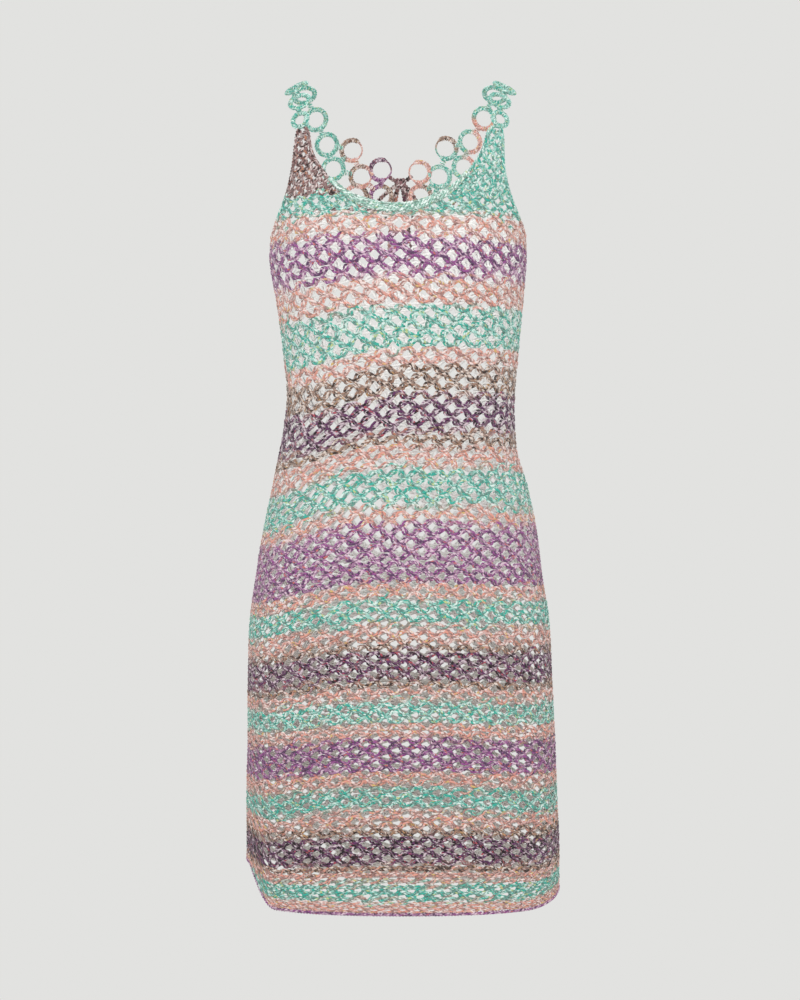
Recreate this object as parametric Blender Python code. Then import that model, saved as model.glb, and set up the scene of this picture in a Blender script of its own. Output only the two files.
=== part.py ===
"""Crochet dress with ring straps, worn form, hollow.

Metres, +Z up, front facing -Y, wearer's height along Z. The origin lies between the two shoulder straps,
at the height of their undersides, where the shoulders hold the dress up.

Pieces: front and back panels, a neckline trim, a hem edge in two halves, a lace of crocheted-over rings
for each shoulder, the tie that closes the two laces at the middle of the back, and the tie's two free ends.
"""

import bisect
import functools
import math
from typing import NamedTuple

import bmesh
import bpy
from mathutils import Matrix, Vector

# Cloth
WALL = 0.003  # thickness of the crocheted net
SEAM_GAP = 0.0004  # clearance between pieces that are sewn together
SECTION_POINTS = 96  # points walked round one body section
PANEL_COLUMNS = 24  # strips across one panel
STEP = 0.002  # step, in metres or as a share of a panel, over which a direction is measured
YOKE_ROWS = 6  # rows of faces between the chest line and the top edge
SKIRT_ROW = 0.029  # usual height of a row of faces below the chest line

CHEST_LEVEL = -0.165  # just under the armholes
HEM_LEVEL = -0.8455  # lowest line of the hem at the front
HEM_EDGE_HEIGHT = 0.0034
HEM_EDGE_PROUD = 0.0005
TRIM_PROUD = 0.0007

# Rings
RING_RADIUS = 0.0107  # to the middle of the yarn-covered tube
RING_TUBE = 0.00255
RING_STEPS = 14
TUBE_STEPS = 5
BEAD_RADIUS = 0.0030  # stitches that join two rings
BEAD_REACH = 0.0064  # rings whose tubes are this close are joined
BEAD_OVERLAP = 0.4  # how far a bead goes past the middle of each tube, as a share of the tube
BEAD_SEGMENTS = 6
BEAD_RINGS = 4
PLACES_COMPARED = 48  # places round each ring at which the distance to the next one is measured

# Tie
TIE_RADIUS = 0.0022
KNOT_PLACE = Vector((0.0004, 0.0640, -0.0895))
KNOT_SIZE = (0.0066, 0.0045, 0.0062)  # half of its width, depth and height
KNOT_SEGMENTS = 10
KNOT_RINGS = 6
LOOP_STEP = 0.006  # distance between the cross-sections of a loop
TIE_END_STEP = 0.010


class Section(NamedTuple):
    """A level cut through the worn dress. Above the armholes it is the line that the straps follow."""

    level: float
    half_width: float
    centre: float
    front: float
    back: float
    twist: float  # how far the side seams run round towards the viewer's right


SQUARENESS = 2.4  # power of the superellipse that every section follows

SECTIONS = (
    #       level   half_width centre  front   back   twist
    Section(0.010, 0.178, 0.0000, 0.030, 0.030, 0.000),
    Section(-0.040, 0.168, 0.0000, 0.060, 0.040, 0.000),
    Section(-0.080, 0.154, 0.0000, 0.079, 0.056, 0.000),
    Section(-0.120, 0.141, -0.0010, 0.092, 0.068, 0.000),
    Section(-0.150, 0.1335, -0.0015, 0.101, 0.077, 0.000),
    Section(-0.182, 0.1340, -0.0020, 0.107, 0.083, 0.002),
    Section(-0.227, 0.1285, 0.0000, 0.103, 0.084, 0.012),
    Section(-0.274, 0.1233, 0.0008, 0.096, 0.080, 0.028),
    Section(-0.321, 0.1191, 0.0010, 0.092, 0.078, 0.031),
    Section(-0.353, 0.1207, -0.0005, 0.093, 0.082, 0.028),
    Section(-0.384, 0.1250, -0.0015, 0.095, 0.090, 0.016),
    Section(-0.415, 0.1327, 0.0000, 0.098, 0.100, 0.004),
    Section(-0.462, 0.1426, 0.0000, 0.103, 0.112, 0.000),
    Section(-0.509, 0.1494, -0.0010, 0.106, 0.118, 0.000),
    Section(-0.556, 0.1562, -0.0005, 0.108, 0.119, 0.000),
    Section(-0.619, 0.1588, 0.0000, 0.108, 0.117, 0.000),
    Section(-0.682, 0.1604, 0.0015, 0.108, 0.114, 0.000),
    Section(-0.744, 0.1620, 0.0020, 0.107, 0.112, 0.000),
    Section(-0.792, 0.1630, 0.0030, 0.107, 0.110, 0.000),
    Section(-0.860, 0.1630, 0.0030, 0.107, 0.109, 0.000),
)


HEM_RISE_TOP = -0.60  # above this level the rows are level


class HemRise(NamedTuple):
    """How the hem rises towards one side seam."""

    height: float
    flat: float  # length of hem, from the seam, that lies at the full height
    reach: float  # length over which the rise then dies out

    def at(self, from_seam: float) -> float:
        """The rise at a distance from the seam."""
        return self.height * (1 - eased((from_seam - self.flat) / self.reach))


#                 left seam                     right seam
FRONT_HEM_RISE = (HemRise(0.041, 0.030, 0.055), HemRise(0.011, 0.0, 0.090))
BACK_HEM_RISE = (HemRise(0.041, 0.0, 0.180), HemRise(0.011, 0.0, 0.120))


class EdgePoint(NamedTuple):
    """A point of a panel's top edge on each side, from the side seam to the middle."""

    left_x: float
    left_z: float
    right_x: float
    right_z: float
    trim: float  # depth of the neckline trim here


FRONT_TOP = (
    #         left_x   left_z   right_x  right_z   trim
    EdgePoint(-0.1340, -0.1570, 0.1310, -0.1570, 0.0),  # underarm
    EdgePoint(-0.1305, -0.1500, 0.1280, -0.1500, 0.0),
    EdgePoint(-0.1250, -0.1380, 0.1215, -0.1380, 0.0),
    EdgePoint(-0.1165, -0.1190, 0.1130, -0.1190, 0.0),
    EdgePoint(-0.1105, -0.0930, 0.1068, -0.0930, 0.0),
    EdgePoint(-0.1050, -0.0530, 0.1045, -0.0530, 0.0),  # outer corner of the strap end
    EdgePoint(-0.0940, -0.0530, 0.0910, -0.0520, 0.0),  # inner corner
    EdgePoint(-0.0878, -0.0800, 0.0825, -0.0770, 0.0),
    EdgePoint(-0.0715, -0.1065, 0.0690, -0.0985, 0.0015),
    EdgePoint(-0.0530, -0.1205, 0.0530, -0.1140, 0.0065),
    EdgePoint(-0.0360, -0.1280, 0.0360, -0.1240, 0.0090),
    EdgePoint(-0.0180, -0.1325, 0.0180, -0.1305, 0.0092),
    EdgePoint(0.0000, -0.1335, 0.0000, -0.1335, 0.0092),
)

BACK_TOP_LEVEL = -0.1176  # the ring laces stand on this edge
BACK_TOP = (
    EdgePoint(-0.1340, -0.1570, 0.1310, -0.1570, 0.0),  # underarm
    EdgePoint(-0.1290, -0.1490, 0.1265, -0.1490, 0.0),
    EdgePoint(-0.1190, -0.1375, 0.1170, -0.1375, 0.0),
    EdgePoint(-0.1060, -0.1270, 0.1050, -0.1270, 0.0),
    EdgePoint(-0.0925, -0.1195, 0.0935, -0.1195, 0.0),
    EdgePoint(-0.0800, BACK_TOP_LEVEL, 0.0810, BACK_TOP_LEVEL, 0.0),
    EdgePoint(-0.0685, BACK_TOP_LEVEL, 0.0695, BACK_TOP_LEVEL, 0.0),
    EdgePoint(-0.0570, BACK_TOP_LEVEL, 0.0580, BACK_TOP_LEVEL, 0.0),
    EdgePoint(-0.0455, BACK_TOP_LEVEL, 0.0465, BACK_TOP_LEVEL, 0.0),
    EdgePoint(-0.0340, BACK_TOP_LEVEL, 0.0350, BACK_TOP_LEVEL, 0.0),
    EdgePoint(-0.0225, BACK_TOP_LEVEL, 0.0235, BACK_TOP_LEVEL, 0.0),
    EdgePoint(-0.0110, BACK_TOP_LEVEL, 0.0120, BACK_TOP_LEVEL, 0.0),
    EdgePoint(0.0000, BACK_TOP_LEVEL, 0.0000, BACK_TOP_LEVEL, 0.0),
)


class Ring(NamedTuple):
    """A ring of one shoulder lace, given for both sides.

    lean is the direction that the strap runs in, in degrees from straight up over to straight down the
    back. slope is how far the ring's inner end lifts, and turn how far it lies deeper, also in degrees.
    """

    name: str
    left_x: float
    left_z: float
    right_x: float
    right_z: float
    depth: float
    lean: float
    slope: float
    turn: float
    size: float  # share of the usual ring


RINGS = (
    #     name          left_x   left_z   right_x  right_z  depth  lean slope turn  size
    Ring("front_low", -0.1020, -0.0435, 0.1020, -0.0425, -0.0530, 22, 0, -25, 0.72),
    Ring("front_high", -0.1030, -0.0225, 0.1020, -0.0215, -0.0415, 42, 8, -15, 0.92),
    Ring("top", -0.1070, -0.0050, 0.1080, -0.0050, -0.0225, 66, 26, -5, 1.00),
    Ring("back_1", -0.1000, -0.0075, 0.0990, -0.0070, 0.0035, 122, 14, 5, 1.00),
    Ring("back_2", -0.0886, -0.0300, 0.0886, -0.0290, 0.0195, 153, 0, 20, 1.00),
    Ring("back_3", -0.0774, -0.0545, 0.0742, -0.0515, 0.0310, 158, 0, 20, 1.00),
    Ring("back_4", -0.0710, -0.0785, 0.0680, -0.0770, 0.0410, 158, 0, 18, 1.00),
    Ring("inner_3", -0.0510, -0.0590, 0.0489, -0.0570, 0.0400, 156, 0, 12, 1.00),
    Ring("inner_4", -0.0416, -0.0850, 0.0422, -0.0855, 0.0515, 158, 0, 9, 1.00),
    Ring("centre_4", -0.0203, -0.0780, 0.0207, -0.0805, 0.0520, 160, 0, 4, 1.00),
    Ring("low_outer", -0.0745, -0.1048, 0.0745, -0.1048, 0.0510, 162, 0, 18, 1.00),
    Ring("low_middle", -0.0471, -0.1048, 0.0485, -0.1048, 0.0590, 162, 0, 10, 1.00),
    Ring("low_inner", -0.0204, -0.1048, 0.0222, -0.1048, 0.0625, 162, 0, 4, 1.00),
)


class Strand(NamedTuple):
    """A stretch of the tie, as steps from the knot."""

    name: str
    route: tuple[tuple[float, float, float], ...]


TIE_STRANDS = (
    Strand("to_left_ring", ((0, 0, 0), (-0.0070, -0.0017, 0.0030), (-0.0129, -0.0059, 0.0042))),
    Strand("to_right_ring", ((0, 0, 0), (0.0065, -0.0016, 0.0025), (0.0122, -0.0055, 0.0030))),
    Strand(
        "left_loop",
        (
            (0, 0.0010, 0),
            (-0.0115, 0.0035, -0.0080),
            (-0.0235, 0.0065, -0.0190),
            (-0.0290, 0.0105, -0.0320),
            (-0.0210, 0.0130, -0.0400),
            (-0.0130, 0.0105, -0.0290),
            (-0.0055, 0.0060, -0.0125),
            (0, 0.0010, 0),
        ),
    ),
    Strand(
        "right_loop",
        (
            (0, 0.0010, 0),
            (0.0060, 0.0045, -0.0100),
            (0.0100, 0.0080, -0.0240),
            (0.0150, 0.0125, -0.0370),
            (0.0205, 0.0120, -0.0360),
            (0.0175, 0.0085, -0.0210),
            (0.0100, 0.0045, -0.0080),
            (0, 0.0010, 0),
        ),
    ),
)

TIE_ENDS = (
    Strand(
        "tie_end_left",
        (
            (-0.0025, 0.0068, -0.0030),
            (-0.0035, 0.0108, -0.0090),
            (-0.0052, 0.0138, -0.0180),
            (-0.0078, 0.0165, -0.0300),
            (-0.0103, 0.0180, -0.0450),
            (-0.0115, 0.0198, -0.0600),
            (-0.0120, 0.0220, -0.0740),
        ),
    ),
    Strand(
        "tie_end_right",
        (
            (0.0025, 0.0068, -0.0030),
            (0.0032, 0.0108, -0.0090),
            (0.0048, 0.0138, -0.0180),
            (0.0066, 0.0168, -0.0300),
            (0.0082, 0.0182, -0.0450),
            (0.0108, 0.0200, -0.0600),
            (0.0146, 0.0222, -0.0760),
            (0.0176, 0.0238, -0.0880),
        ),
    ),
)


def eased(share: float) -> float:
    """A share of the way, from 0 to 1, with a soft start and end."""
    share = min(max(share, 0.0), 1.0)
    return share * share * (3.0 - 2.0 * share)


def section_at(level: float) -> Section:
    """The section at a level, on a smooth curve through the table's rows."""
    rows = SECTIONS
    level = min(max(level, rows[-1].level), rows[0].level)
    after = next(i for i in range(1, len(rows)) if level >= rows[i].level)
    upper, lower = rows[after - 1], rows[after]
    above = rows[max(after - 2, 0)]
    below = rows[min(after + 1, len(rows) - 1)]
    step = lower.level - upper.level
    t = (level - upper.level) / step
    values = []
    for p0, p1, p2, p3, l0, l3 in (
        (above[k], upper[k], lower[k], below[k], above.level, below.level) for k in range(1, 6)
    ):
        slope_1 = (p2 - p0) / (lower.level - l0) * step
        slope_2 = (p3 - p1) / (l3 - upper.level) * step
        values.append(
            (2 * t**3 - 3 * t**2 + 1) * p1
            + (t**3 - 2 * t**2 + t) * slope_1
            + (3 * t**2 - 2 * t**3) * p2
            + (t**3 - t**2) * slope_2
        )
    return Section(level, *values)


@functools.cache
def half_section(level: float, front: bool) -> list[Vector]:
    """Points of the front or back half of a section, from the left side to the right."""
    section = section_at(level)
    depth = -section.front if front else section.back
    points = []
    for i in range(SECTION_POINTS + 1):
        angle = math.pi * i / SECTION_POINTS
        across, out = math.cos(angle), math.sin(angle)
        x = -math.copysign(abs(across) ** (2 / SQUARENESS), across)
        y = abs(out) ** (2 / SQUARENESS)
        points.append(Vector((section.centre + section.half_width * x, depth * y, level)))
    return points


def walked(points: list[Vector]) -> list[float]:
    """Length walked along a line of points, at each point."""
    lengths = [0.0]
    for a, b in zip(points, points[1:]):
        lengths.append(lengths[-1] + (b - a).length)
    return lengths


def point_along(points: list[Vector], lengths: list[float], distance: float) -> Vector:
    """The point that lies a distance along a line of points."""
    i = min(max(bisect.bisect_left(lengths, distance), 1), len(points) - 1)
    share = (distance - lengths[i - 1]) / (lengths[i] - lengths[i - 1])
    return points[i - 1].lerp(points[i], share)


def on_body(level: float, share: float, front: bool) -> Vector:
    """A point of the worn dress: share runs from the left seam, 0, to the right seam, 1.

    The seams turn with the twist, so the line walked runs on round both sides onto the other half.
    """
    near, far = half_section(level, front), half_section(level, not front)
    line = far[:0:-1] + near + far[-2::-1]
    lengths = walked(line)
    start, width = lengths[len(far) - 1], walked(near)[-1]
    twist = section_at(level).twist * (1 if front else -1)
    place = start + SEAM_GAP / 2 + share * (width - SEAM_GAP) + twist
    return point_along(line, lengths, place)


def cloth_point(level: float, share: float, front: bool) -> tuple[Vector, Vector]:
    """A point of the cloth's outer face with its outward direction, and the hem's rise added."""
    across = on_body(level, share + STEP, front) - on_body(level, share - STEP, front)
    up = on_body(level + STEP, share, front) - on_body(level - STEP, share, front)
    out = across.cross(up) if front else up.cross(across)
    point = on_body(level, share, front)
    point.z += hem_rise(level, share, front)
    return point, out.normalized()


def share_at(level: float, x: float, front: bool) -> float:
    """The share of the way across a panel at which it has this x, above the twisted part."""
    points = half_section(level, front)
    lengths = walked(points)
    for i in range(1, len(points)):
        if x <= points[i].x:
            part = (x - points[i - 1].x) / max(points[i].x - points[i - 1].x, 1e-9)
            return (lengths[i - 1] + max(part, 0.0) * (lengths[i] - lengths[i - 1])) / lengths[-1]
    return 1.0


def hem_rise(level: float, share: float, front: bool) -> float:
    """How far the hem's rise lifts the cloth at this level and share of the way across."""
    points = half_section(HEM_LEVEL, front)
    width = walked(points)[-1]
    left, right = FRONT_HEM_RISE if front else BACK_HEM_RISE
    fade = max(0.0, (HEM_RISE_TOP - level) / (HEM_RISE_TOP - HEM_LEVEL))
    return (left.at(share * width) + right.at((1 - share) * width)) * fade**1.5


def top_edge(table: tuple[EdgePoint, ...]) -> list[tuple[float, float, float]]:
    """(x, z, trim) of every column's upper end, from the left seam to the right."""
    left = [(p.left_x, p.left_z, p.trim) for p in table]
    right = [(p.right_x, p.right_z, p.trim) for p in reversed(table[:-1])]
    return left + right


def skirt_levels() -> list[float]:
    """Levels of the rows from the chest line to the panels' lower edge."""
    bottom = HEM_LEVEL + HEM_EDGE_HEIGHT + SEAM_GAP
    rows = round((CHEST_LEVEL - bottom) / SKIRT_ROW)
    return [CHEST_LEVEL + (bottom - CHEST_LEVEL) * i / rows for i in range(rows + 1)]


Grid = list[list[tuple[Vector, Vector]]]


def upper_place(
    column: int, edge: list[tuple[float, float, float]], part: float, front: bool
) -> tuple[Vector, Vector]:
    """A point above the chest line: part is 0 there and 1 at the column's own top, under any trim."""
    x, z, trim = edge[column]
    if trim:
        z -= trim + SEAM_GAP
    share = 0.0 if column == 0 else 1.0 if column == PANEL_COLUMNS else share_at(z, x, front)
    chest_share = column / PANEL_COLUMNS
    level = CHEST_LEVEL + (z - CHEST_LEVEL) * part
    return cloth_point(level, chest_share + (share - chest_share) * part, front)


def panel_grid(table: tuple[EdgePoint, ...], front: bool) -> Grid:
    """Rows of points of a panel, from its top edge to its lower edge."""
    edge = top_edge(table)
    columns = range(PANEL_COLUMNS + 1)
    yoke = [[upper_place(j, edge, i / YOKE_ROWS, front) for j in columns] for i in range(YOKE_ROWS, 0, -1)]
    return yoke + level_rows(skirt_levels(), front)


def level_rows(levels: list[float], front: bool) -> Grid:
    """Rows of points right across a panel at the given levels."""
    columns = range(PANEL_COLUMNS + 1)
    return [[cloth_point(level, j / PANEL_COLUMNS, front) for j in columns] for level in levels]


def hem_levels() -> list[float]:
    """Levels of the rows of the hem edge."""
    return [HEM_LEVEL + HEM_EDGE_HEIGHT * part for part in (1.0, 0.5, 0.0)]


def trim_grid() -> Grid:
    """Rows of points of the neckline trim, from its upper edge down."""
    edge = [place for place in top_edge(FRONT_TOP) if place[2]]
    rows = []
    for part in (0.0, 0.5, 1.0):
        row = []
        for x, z, trim in edge:
            level = z - trim * part
            row.append(cloth_point(level, share_at(level, x, True), True))
        rows.append(row)
    return rows


def sheet_object(name: str, rows: Grid, front: bool, proud: float = 0.0) -> bpy.types.Object:
    """A wall of cloth on a grid of points: its outer face lies proud of them, its inner face behind."""
    shape = bmesh.new()
    outer = [[shape.verts.new(point + out * proud) for point, out in row] for row in rows]
    inner = [[shape.verts.new(point - out * (WALL + proud)) for point, out in row] for row in rows]
    last_row, last_column = len(rows) - 1, len(rows[0]) - 1
    for i in range(last_row):
        for j in range(last_column):
            for grid, turned in ((outer, not front), (inner, front)):
                corners = [grid[i][j], grid[i + 1][j], grid[i + 1][j + 1], grid[i][j + 1]]
                shape.faces.new(corners[::-1] if turned else corners)
    around = [(0, j) for j in range(last_column)]
    around += [(i, last_column) for i in range(last_row)]
    around += [(last_row, j) for j in range(last_column, 0, -1)]
    around += [(i, 0) for i in range(last_row, 0, -1)]
    for (i, j), (k, m) in zip(around, around[1:] + around[:1]):
        corners = [outer[i][j], outer[k][m], inner[k][m], inner[i][j]]
        shape.faces.new(corners if front else corners[::-1])
    mesh = bpy.data.meshes.new(name)
    shape.to_mesh(mesh)
    shape.free()
    mesh.shade_smooth()
    mesh.set_sharp_from_angle(angle=math.radians(40))
    piece = bpy.data.objects.new(name, mesh)
    bpy.context.scene.collection.objects.link(piece)
    return piece


def finish(name: str, colour: tuple[float, float, float], roughness: float) -> bpy.types.Material:
    """A plain fabric material."""
    material = bpy.data.materials.new(name)
    material.use_nodes = True
    shader = material.node_tree.nodes["Principled BSDF"]
    shader.inputs["Base Color"].default_value = (*colour, 1.0)
    shader.inputs["Roughness"].default_value = roughness
    shader.inputs["Metallic"].default_value = 0.0
    return material


def ring_places(side: int) -> list[tuple[Ring, Matrix]]:
    """Each ring of one side, with the matrix that lays a flat ring in its place."""
    places = []
    for ring in RINGS:
        x, z = (ring.left_x, ring.left_z) if side < 0 else (ring.right_x, ring.right_z)
        turn, slope, lean = (math.radians(angle) for angle in (ring.turn, ring.slope, ring.lean))
        inward = Vector((-side * math.cos(turn) * math.cos(slope), math.sin(turn), math.sin(slope)))
        inward.normalize()
        along = Vector((0.0, math.sin(lean), math.cos(lean)))
        along = (along - inward * along.dot(inward)).normalized()
        normal = inward.cross(along)
        matrix = Matrix((inward, along, normal)).transposed().to_4x4()
        matrix.translation = Vector((x, ring.depth, z))
        places.append((ring, matrix))
    return places


def united(name: str, pieces: list[bpy.types.Object]) -> bpy.types.Object:
    """All pieces joined into the first by one Boolean union, under a new name."""
    base, others = pieces[0], pieces[1:]
    helpers = bpy.data.collections.new(f"{name}_parts")
    for other in others:
        for holder in list(other.users_collection):
            holder.objects.unlink(other)
        helpers.objects.link(other)
    bpy.context.scene.collection.children.link(helpers)
    join = base.modifiers.new("Join", "BOOLEAN")
    join.operation = "UNION"
    join.operand_type = "COLLECTION"
    join.collection = helpers
    join.solver = "EXACT"
    join.use_self = False
    graph = bpy.context.evaluated_depsgraph_get()
    mesh = bpy.data.meshes.new_from_object(base.evaluated_get(graph))
    mesh.name = name
    mesh.shade_smooth()
    whole = bpy.data.objects.new(name, mesh)
    bpy.context.scene.collection.objects.link(whole)
    for piece in pieces:
        bpy.data.objects.remove(piece, do_unlink=True)
    bpy.data.collections.remove(helpers)
    return whole


def ring_strap(name: str, side: int) -> bpy.types.Object:
    """One shoulder's lace of rings, joined where they touch."""
    places = ring_places(side)
    pieces = []
    for ring, matrix in places:
        bpy.ops.mesh.primitive_torus_add(
            major_segments=RING_STEPS,
            minor_segments=TUBE_STEPS,
            major_radius=RING_RADIUS * ring.size,
            minor_radius=RING_TUBE,
        )
        piece = bpy.context.object
        piece.data.transform(matrix)
        piece.location = (0, 0, 0)
        pieces.append(piece)
    for i, (ring_a, a) in enumerate(places):
        for ring_b, b in places[i + 1 :]:
            start, end = nearest_tubes(ring_a, a, ring_b, b)
            if (end - start).length < 2 * RING_TUBE + BEAD_REACH:
                pieces.append(stitch_bead(start, end))
    return united(name, pieces)


def nearest_tubes(ring_a: Ring, a: Matrix, ring_b: Ring, b: Matrix) -> tuple[Vector, Vector]:
    """The points of two rings' centre lines that lie nearest each other."""
    found = []
    for ring, matrix in ((ring_a, a), (ring_b, b)):
        radius = RING_RADIUS * ring.size
        turns = (2 * math.pi * i / PLACES_COMPARED for i in range(PLACES_COMPARED))
        found.append([matrix @ Vector((radius * math.cos(t), radius * math.sin(t), 0)) for t in turns])
    return min(((p, q) for p in found[0] for q in found[1]), key=lambda pair: (pair[1] - pair[0]).length)


def stitch_bead(start: Vector, end: Vector) -> bpy.types.Object:
    """The stitches between two rings, as a bead stretched from one tube's middle to the other's."""
    along = end - start
    reach = along.length / 2 + BEAD_OVERLAP * RING_TUBE + BEAD_RADIUS / 2
    bpy.ops.mesh.primitive_uv_sphere_add(segments=BEAD_SEGMENTS, ring_count=BEAD_RINGS, radius=1.0)
    bead = bpy.context.object
    turn = along.to_track_quat("Z", "Y").to_matrix().to_4x4() if along.length > 1e-6 else Matrix()
    stretch = Matrix.Diagonal((BEAD_RADIUS, BEAD_RADIUS, reach, 1.0))
    bead.data.transform(Matrix.Translation((start + end) / 2) @ turn @ stretch)
    return bead


def smooth_route(points: list[Vector], step: float) -> list[Vector]:
    """Points about a step apart on a smooth curve through the given points."""
    ends = [2 * points[0] - points[1], *points, 2 * points[-1] - points[-2]]
    line = []
    for i in range(1, len(ends) - 2):
        p0, p1, p2, p3 = ends[i - 1 : i + 3]
        pieces = max(1, round((p2 - p1).length / step))
        for k in range(pieces):
            t = k / pieces
            line.append(
                0.5 * (2 * p1 + (p2 - p0) * t + (2 * p0 - 5 * p1 + 4 * p2 - p3) * t**2
                       + (3 * p1 - p0 - 3 * p2 + p3) * t**3)
            )
    line.append(points[-1])
    return line


def cord_object(strand: Strand, step: float, radius: float) -> bpy.types.Object:
    """A stretch of the tie as a bevelled curve with filled ends, with a cross-section at every step."""
    route = smooth_route([KNOT_PLACE + Vector(place) for place in strand.route], step)
    curve = bpy.data.curves.new(strand.name, "CURVE")
    curve.dimensions = "3D"
    curve.bevel_depth = radius
    curve.bevel_resolution = 2
    curve.use_fill_caps = True
    spline = curve.splines.new("POLY")
    spline.points.add(len(route) - 1)
    for point, place in zip(spline.points, route):
        point.co = (*place, 1.0)
    piece = bpy.data.objects.new(strand.name, curve)
    bpy.context.scene.collection.objects.link(piece)
    return piece


def as_mesh(piece: bpy.types.Object) -> bpy.types.Object:
    """The piece with its curve made into a mesh."""
    graph = bpy.context.evaluated_depsgraph_get()
    mesh = bpy.data.meshes.new_from_object(piece.evaluated_get(graph))
    solid = bpy.data.objects.new(piece.name + "_mesh", mesh)
    bpy.context.scene.collection.objects.link(solid)
    shape = bmesh.new()
    shape.from_mesh(mesh)
    bmesh.ops.remove_doubles(shape, verts=shape.verts, dist=1e-6)
    bmesh.ops.recalc_face_normals(shape, faces=shape.faces)
    shape.to_mesh(mesh)
    shape.free()
    bpy.data.objects.remove(piece, do_unlink=True)
    return solid


def back_tie() -> bpy.types.Object:
    """The knot of the tie, its reach to each ring lace, and the two hanging loops of its bow."""
    bpy.ops.mesh.primitive_uv_sphere_add(segments=KNOT_SEGMENTS, ring_count=KNOT_RINGS, radius=1.0)
    knot = bpy.context.object
    knot.data.transform(Matrix.Translation(KNOT_PLACE) @ Matrix.Diagonal((*KNOT_SIZE, 1.0)))
    pieces = [knot]
    for strand in TIE_STRANDS:
        pieces.append(as_mesh(cord_object(strand, LOOP_STEP, TIE_RADIUS)))
    return united("back_tie", pieces)


def main() -> None:
    """Build every piece of the dress in an empty scene."""
    for old in list(bpy.data.objects):
        bpy.data.objects.remove(old, do_unlink=True)
    net = finish("net", (0.30, 0.32, 0.30), 0.9)
    teal = finish("teal_yarn", (0.16, 0.37, 0.33), 0.85)
    purple = finish("purple_yarn", (0.20, 0.12, 0.19), 0.85)
    brown = finish("brown_yarn", (0.13, 0.08, 0.07), 0.85)
    pieces = [
        (sheet_object("front_panel", panel_grid(FRONT_TOP, True), True), net),
        (sheet_object("back_panel", panel_grid(BACK_TOP, False), False), net),
        (sheet_object("neckline_trim", trim_grid(), True, TRIM_PROUD), teal),
        (sheet_object("hem_edge_front", level_rows(hem_levels(), True), True, HEM_EDGE_PROUD), purple),
        (sheet_object("hem_edge_back", level_rows(hem_levels(), False), False, HEM_EDGE_PROUD), purple),
        (ring_strap("ring_strap_left", -1), teal),
        (ring_strap("ring_strap_right", 1), teal),
        (back_tie(), brown),
        *((cord_object(strand, TIE_END_STEP, TIE_RADIUS), brown) for strand in TIE_ENDS),
    ]
    for piece, material in pieces:
        piece.data.materials.clear()
        piece.data.materials.append(material)


main()
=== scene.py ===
"""Looks of a crocheted dress: an open net in space-dyed yarn, a lace of rings on each shoulder, and a tie.

Metres, +Z up, front facing -Y. Everything lies on the same worn form as the solids do. The net is made of
courses: in each, three strands twisted round each other wave between two rows of openings.
"""

import logging
import math
from collections.abc import Sequence
from dataclasses import dataclass, field
from enum import Enum

import bpy
import numpy as np
from mathutils import Matrix, Vector

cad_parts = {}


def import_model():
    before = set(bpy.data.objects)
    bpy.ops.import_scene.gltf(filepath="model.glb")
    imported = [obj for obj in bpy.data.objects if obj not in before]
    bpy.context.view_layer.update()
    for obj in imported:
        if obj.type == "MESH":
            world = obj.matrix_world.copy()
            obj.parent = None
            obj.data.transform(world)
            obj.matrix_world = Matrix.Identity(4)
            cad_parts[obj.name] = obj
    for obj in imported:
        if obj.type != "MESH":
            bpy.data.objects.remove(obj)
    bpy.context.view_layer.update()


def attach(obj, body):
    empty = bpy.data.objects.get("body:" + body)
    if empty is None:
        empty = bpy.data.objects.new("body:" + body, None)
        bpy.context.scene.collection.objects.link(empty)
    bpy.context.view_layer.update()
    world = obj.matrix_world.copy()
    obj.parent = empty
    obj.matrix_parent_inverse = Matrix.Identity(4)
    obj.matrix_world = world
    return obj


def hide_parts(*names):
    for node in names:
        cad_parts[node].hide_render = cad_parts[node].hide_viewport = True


LOG = logging.getLogger("dress")
BODY = "root"
MM = 0.001
TINY = 1e-12  # stands in for zero where a length or a sum could vanish

Points = np.ndarray  # rows of x, y, z
Colour = tuple[float, float, float]

SPAN_POINTS = 12  # points worked out between two given points of a smooth line
LAST_CELL = 1.001  # keeps a place at the very end of a table inside its last cell


class Side(Enum):
    """Which half of the dress a piece lies on."""

    FRONT = 1
    BACK = -1


class Dye(Enum):
    """The yarn's colour families. A weight for each but peach is kept at every point of the yarn."""

    PEACH = -1
    TEAL = 0
    PURPLE = 1
    BROWN = 2
    AUBERGINE = 3

    @property
    def weights(self) -> np.ndarray:
        """The stored weights of this family.

        Returns:
            The four weights, all zero for peach.
        """
        stored = np.zeros(4)
        if self is not Dye.PEACH:
            stored[self.value] = 1.0
        return stored


def blended(*dyes: Dye) -> np.ndarray:
    """The stored weights of an even mix of several families, each laid over the ones before it.

    Args:
        dyes: The families. One that is named twice has twice the share.

    Returns:
        The four weights.
    """
    shares = np.array([dyes.count(dye) for dye in Dye], dtype=float)
    return shares[1:] / np.maximum(np.cumsum(shares)[1:], TINY)


def eased(share: np.ndarray | float) -> np.ndarray:
    """A share of the way, from 0 to 1, with a soft start and end."""
    share = np.clip(share, 0.0, 1.0)
    return share * share * (3.0 - 2.0 * share)


def unit(vectors: Points) -> Points:
    """Rows of vectors at length 1."""
    return vectors / np.maximum(np.linalg.norm(vectors, axis=-1, keepdims=True), TINY)


def walked(points: Points) -> np.ndarray:
    """Length walked along a line of points, at each point."""
    return np.concatenate([[0.0], np.cumsum(np.linalg.norm(np.diff(points, axis=0), axis=1))])


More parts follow.
